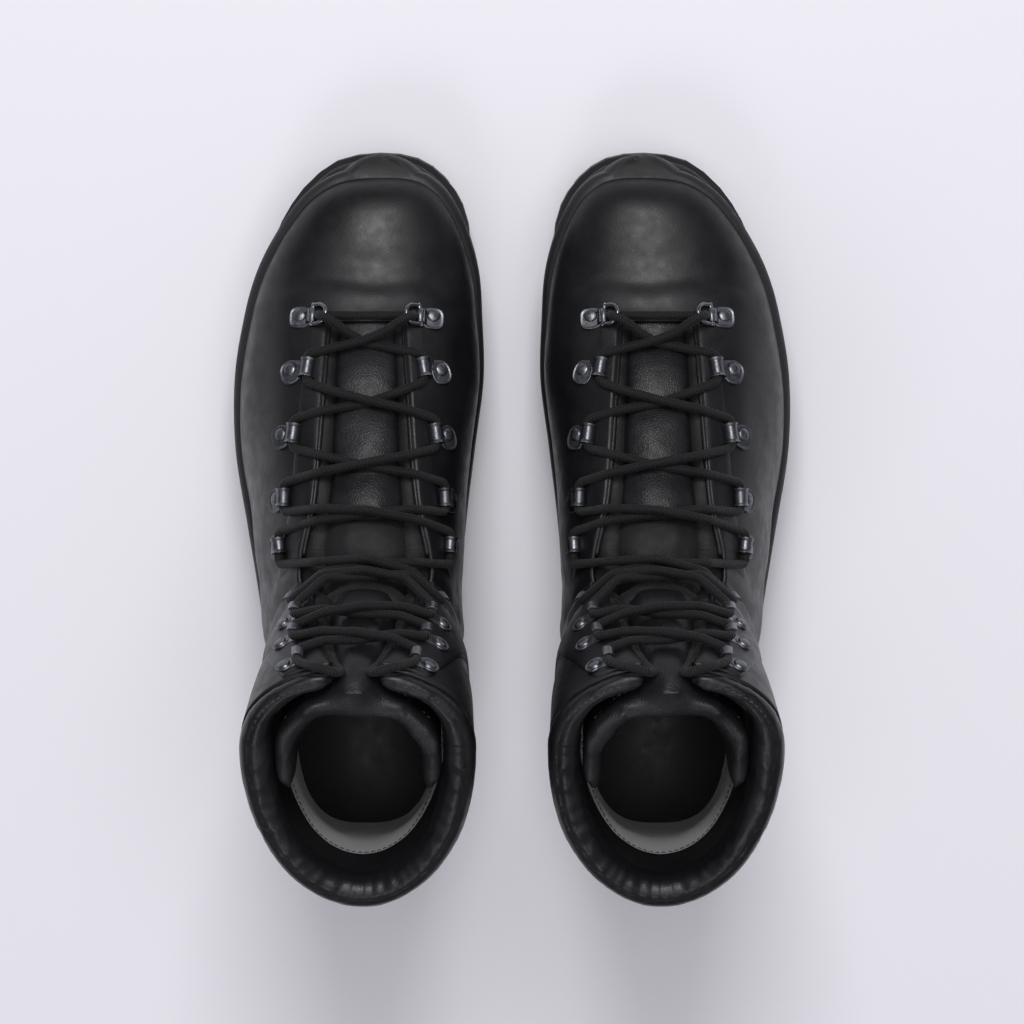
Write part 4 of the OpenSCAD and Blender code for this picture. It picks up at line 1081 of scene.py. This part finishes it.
def tongue(side):
    deep = -9.4
    u = np.linspace(5.45, 9.35, 40)[:, None]
    rows = [(r, x) for r, x in ROWS[:5]]
    low = tongue_pad(side, "lower_tongue_pad", u, angle_at(u, slot_half(u) + 4),
                     lambda u, x: sunk_sides(u, x, -1.9 + 2.6 * pillow(u, x, rows, 17), deep),
                     lambda u, x: np.full(np.broadcast(u, x).shape, -12.0), 71)
    dress(low, "tongue_leather", body=FEET, replaced=[f"{side}_lower_tongue"])

    u = np.linspace(8.9, 15.6, 56)[:, None]
    fold = tongue_pad(side, "tongue_fold", u, angle_at(u, slot_half(u) + 1.5),
                      lambda u, x: sunk_sides(u, x, -4.4 + 1.5 * np.cos((u - 9.7) * 3.4), -9.6),
                      lambda u, x: np.full(np.broadcast(u, x).shape, -11.2), 73, voxel=2.6,
                      bumps=lambda p, s: ripple(p, 9, s) * 0.28 + ripple(p, 26, s + 1) * 0.3)
    dress(fold, "soft_leather")
    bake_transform(fold)

    u = np.linspace(15.0, 19.2, 40)[:, None]
    rows = [(r, x) for r, x in ROWS[6:]]
    spread = lambda u: mix(angle_at(u, 27), 106, smooth((u - 15.8) / 2.5))

    def face(u, x):
        inside = -13.5
        crown = -1.8 + 1.2 * pillow(u, x, rows, 12) - 2.2 * smooth((u - 18.2) / 0.9)
        tuck = smooth((np.abs(x) - slot_half(u) * 0.35) / np.maximum(slot_half(u) * 0.62, 9))
        return mix(mix(crown, -10.6, tuck), inside, smooth((np.abs(x) - 22) / 10) * smooth((u - 16.5) / 1.5))

    top = tongue_pad(side, "upper_tongue_pad", u, spread(u), face,
                     lambda u, x: mix(-17.8, -21.5, smooth((np.abs(x) - 22) / 14)), 75, voxel=3.2, cap=1.6)
    dress(top, "tongue_leather", body=f"{side}_tongue", replaced=[f"{side}_tongue"])
    us = np.full(70, 18.55)
    xs = np.linspace(-40, 40, 70)
    depth = face(us, xs)
    a = angle_at(us, xs)
    pts, nor = skin(us, a, depth + 0.9), normal(us, a)
    sewn = stitches(side, "tongue_stitches", [(pts[:22], nor[:22]), (pts[48:], nor[48:])],
                    finish="dark_thread")
    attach(sewn, f"{side}_tongue")
    for flank, word in ((-1, "lateral"), (1, "medial")):
        for part, us in (("low", np.linspace(5.9, 9.9, 50)), ("middle", np.linspace(9.8, 12.7, 40)),
                         ("high", np.linspace(12.6, 18.3, 60))):
            drop = np.linspace(0, 1, 8)[None, :]
            column = us[:, None]
            x = flank * (slot_half(column) + 1.2 - 5.2 * np.sin(drop * math.pi / 2))
            a = angle_at(column, x)
            base = skin(column, a, np.zeros(a.shape))
            folds = 0.7 * np.sin(column * 11 + 1.3 * ripple(base, 18, 77)) * np.sin(drop * math.pi)
            sunk = 0.2 - 8.2 * (1 - np.cos(drop * math.pi / 2)) + folds
            grid = base + normal(column, a) * sunk[..., None]
            faces = sheet_faces(len(us) - 1, 7)
            turned = faces if flank < 0 else [f[::-1] for f in faces]
            gusset = build(side, f"{part}_gusset_{word}", grid, turned)
            thicken(gusset, 0.8)
            dress(gusset, "soft_leather")
            if part == "middle":
                across_ankle(gusset)
            else:
                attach(gusset, FEET if part == "low" else f"{side}_shaft")


# ---------------------------------------------------------------- lace
LACE_H = 5.8
RUN_HALF = [6.4, 6.4, 6.4, 6.4, 6, 4.8, 4.8, 4.8, 4.8]
# Shares of the way from one row to the next at which a strand is guided over the tongue
EVEN = (0.36, 0.5, 0.64)
CROSS = {4: (0.27, 0.43, 0.62)}      # rows where they differ


def row_axes(row, flank):
    u, x = ROWS[row]
    a = angle_at(u, flank * x)
    n = normal(u, a)
    ahead, behind = (form(u + s, angle_at(u + s, flank * x)) for s in (0.2, -0.2))
    along_it = unit(ahead - behind)
    along_it = unit(along_it - along_it.dot(n) * n)
    return skin(u, a, LACE_H), along_it, n


def run_point(row, flank, way):
    """Where the lace enters (way -1) or leaves (way 1) a fixing, along its axis."""
    at, along_it, _ = row_axes(row, flank)
    return at + way * along_it


def on_face(u, x, d):
    return skin(u, angle_at(u, x), d)


def eased(points, step=0.6, window=7):
    """A path through points, its corners rounded off and its ends kept."""
    pts = np.asarray(points, float)
    run = np.concatenate([[0], np.cumsum(np.linalg.norm(np.diff(pts, axis=0), axis=1))])
    at = np.linspace(0, run[-1], int(run[-1] / step) + 2)
    path = np.stack([np.interp(at, run, pts[:, k]) for k in range(3)], -1)
    weight = np.hanning(2 * window + 3)[1:-1]
    weight /= weight.sum()
    padded = np.concatenate([2 * path[:1] - path[window:0:-1], path,
                             2 * path[-1:] - path[-2:-window - 2:-1]])
    return np.stack([np.convolve(padded[:, k], weight, mode="valid") for k in range(3)], -1)


def through(row, flank):
    half = RUN_HALF[row]
    return [run_point(row, flank, way) for way in np.linspace(-half, half, 5)]


def cross_point(row, height):
    return skin(mix(ROWS[row][0], ROWS[row + 1][0], CROSS.get(row, EVEN)[1]), 0, height)


def crossing(row, flank, height):
    (u0, x0), (u1, x1) = ROWS[row], ROWS[row + 1]
    side_h = mix(LACE_H, height, 0 if row == FLAT_ROW else 0.3)
    first, _, last = CROSS.get(row, EVEN)
    return [on_face(mix(u0, u1, first), flank * x0 * 0.58, side_h), cross_point(row, height),
            on_face(mix(u0, u1, last), -flank * x1 * 0.58, side_h)]


def strand(first, last, flank, order):
    pts = []
    for row in range(first, last + 1):
        here = flank if (row - first) % 2 == 0 else -flank
        pts += through(row, here)
        if row < last:
            pts += crossing(row, here, LACE_LOW if flank * order > 0 else LACE_OVER)
    return pts


RING_ROUTE = [(5.9, 8, 4.2), (5.9, 14, 4.6), (5.9, 17, 4.8), (5.93, 18.8, 7), (6, 18.5, 10.5),
              (6.06, 16, 12.8), (6.14, 12.5, 10.8), (6.24, 8, 6.4)]


def rib(run, angle):
    """Ribs of the braid, as a share of the lace's radius."""
    return 1 + 0.012 * np.sin(2 * math.pi * run / 3.1 + angle) + 0.02 * np.sin(run * 0.37 + 2 * angle)


def laces(side):
    order = -SIDES[side]
    medial_first, lateral_first = (LACE_LOW, LACE_OVER) if order > 0 else (LACE_OVER, LACE_LOW)
    ring = {flank: [on_face(u, flank * x, d) for u, x, d in RING_ROUTE] for flank in (-1, 1)}
    lower = (strand(1, 4, 1, order)[::-1] + [cross_point(0, medial_first)] + ring[-1][::-1] + ring[1]
             + [cross_point(0, lateral_first)] + strand(1, 4, -1, order))
    foot = tube(side, "lace_lower", eased(lower), LACE_R, sides=16, profile=rib)
    dress(foot, "lace", body=FEET, replaced=[f"{side}_lower_lace"])
    for flank, word in ((-1, "a"), (1, "b")):
        height = ANKLE_LOW if flank * order > 0 else ANKLE_OVER
        route = ([run_point(4, flank, RUN_HALF[4] + way) for way in (-0.4, 2)] + crossing(4, flank, height)
                 + [run_point(5, -flank, -RUN_HALF[5] - way) for way in (2, -0.4)])
        middle = tube(side, f"lace_ankle_{word}", eased(route), LACE_R, sides=16, profile=rib)
        dress(middle, "lace", replaced=[f"{side}_ankle_lace"] if flank > 0 else ())
        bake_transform(middle)

        tail = [on_face(18.78, -flank * 15, LACE_H - 0.6), on_face(18.86, -flank * 8.5, 2.4)]
        tail += [on_face(u, -flank * (float(slot_half(u)) - 4), d)
                 for u, d in ((18.6, -1.4), (18.25, -3.9), (17.9, -4.5), (17.5, -4.6))]
        route = strand(5, 8, flank, order) + tail
        high = tube(side, f"lace_upper_{word}", eased(route), LACE_R, sides=16, profile=rib)
        dress(high, "lace", body=f"{side}_shaft", replaced=[f"{side}_upper_lace"] if flank > 0 else ())


# ---------------------------------------------------------------- hardware
CAD_FINISH = {
    "outsole": "rubber", "shank": "steel", "insole_board": "board", "footbed": "footbed_fabric",
    "toe_puff": "stiffener", "heel_counter": "stiffener",
    "d_ring_lateral": "ring_steel", "d_ring_medial": "ring_steel", "eyelets": "gunmetal",
    "speed_hooks": "gunmetal", "lower_rivets": "rivet_steel", "upper_rivets": "rivet_steel",
    "aglets": "aglet_plastic"}


def cad_parts(side):
    """The CAD nodes that stay in sight, dressed by their slot."""
    for word, finish in CAD_FINISH.items():
        node = frame["nodes"][f"{side}_{word}"]
        dress(node, finish)
        if finish in ("gunmetal", "ring_steel", "rivet_steel"):
            node.data.polygons.foreach_set("use_smooth", [True] * len(node.data.polygons))
            weld = node.modifiers.new("smooth", "EDGE_SPLIT")
            weld.split_angle = math.radians(35)


PLATE_D = 2.8           # underside of the metal over the leather
RIVET_OUT = [9.6, 9, 8.4, 8, 7.6, 7.4, 7.4, 7.2, 6.4]
RING_BAR = (3.4, 2.2)   # the D-ring's bar, outboard of the lace and over its plate


def pressed_plate(row, flank, reach, long, wide, square, turn):
    """A riveted plate with a raised rim; long and wide are its half sizes, square its corners' power."""
    at, along_it, n = row_axes(row, flank)
    at = at - n * (LACE_H - PLATE_D)
    out = np.cross(along_it, n)
    out = out * np.sign(out[0]) * flank
    profile = [(0, 0.90), (0.62, 0.90), (0.74, 0.84), (0.84, 0.9), (0.90, 1.12), (0.95, 1.08),
               (0.99, 0.7), (1.0, 0.35), (0.97, -0.05), (0, -0.05)]
    count = 36
    q = np.arange(count) * 2 * math.pi / count
    c, sn = np.cos(q), np.sin(q)
    x = np.sign(c) * np.abs(c) ** (2 / square) * long
    y = np.sign(sn) * np.abs(sn) ** (2 / square) * wide
    x, y = x * math.cos(turn) - y * math.sin(turn), x * math.sin(turn) + y * math.cos(turn)
    rings = [at + out * (reach + x[:, None] * max(r, 0.02)) + along_it * y[:, None] * max(r, 0.02) + n * h
             for r, h in profile]
    return np.array(rings), flank


def plates(side):
    """The riveted ends of all the lacing fixings."""
    for rows, name, body in ((range(0, 5), "low_plates", FEET),
                             (range(5, 9), "high_plates", f"{side}_shaft")):
        pts, faces = [], []
        for row in rows:
            for flank in (-1, 1):
                size = (4.9, 4.9, 3.2, 0.0) if row == 0 else (4.6, 5.4, 2.5, -0.28 * flank) if row < 5 \
                    else (3.9, 4.7, 2.3, -0.5 * flank)
                rings, way = pressed_plate(row, flank, RIVET_OUT[row] - (0.2 if row == 0 else 0), *size)
                base, count = sum(len(p) for p in pts), rings.shape[1]
                made = [tuple(base + k for k in f) for f in sheet_faces(len(rings) - 1, count, ring=True)]
                made += [tuple(base + j for j in range(count))[::-1],
                         tuple(base + (len(rings) - 1) * count + j for j in range(count))]
                faces += [f[::-1] for f in made] if way > 0 else made
                pts.append(rings.reshape(-1, 3))
        obj = build(side, name, np.concatenate(pts), faces)
        dress(obj, "gunmetal", body=body)
    for flank, word in ((-1, "lateral"), (1, "medial")):
        at, along_it, n = row_axes(0, flank)
        at = at - n * (LACE_H - PLATE_D)
        out = np.cross(along_it, n)
        out = out * np.sign(out[0]) * flank
        bar = at + out * RING_BAR[0] + n * RING_BAR[1]
        knuckle = tube(side, f"ring_knuckle_{word}", [bar + along_it * k for k in (-3.2, -3.0, 0, 3.0, 3.2)],
                       [1.35, 1.65, 1.65, 1.65, 1.35], sides=20)
        dress(knuckle, "gunmetal", body=FEET, replaced=[f"{side}_ring_plates"] if flank > 0 else ())
        strap = [bar + out * k + n * h for k, h in ((0.9, 0.9), (1.7, 0.2), (2.2, -0.9), (2.8, -1.6))]
        grid = np.array([[p + along_it * w for w in (-3, -2.7, 0, 2.7, 3)] for p in strap])
        faces = [f if flank < 0 else f[::-1] for f in sheet_faces(3, 4)]
        neck = build(side, f"ring_strap_{word}", grid, faces)
        thicken(neck, 0.8, edge=0.15)
        dress(neck, "gunmetal", body=FEET)


def boot(side):
    midsole(side)
    rand(side)
    upper(side)
    facings(side)
    quarter_seams(side)
    collar(side)
    shaft_inside(side)
    tongue(side)
    laces(side)
    plates(side)
    cad_parts(side)


stage_set()
LOOK = finishes()
for boot_side in SIDES:
    boot(boot_side)
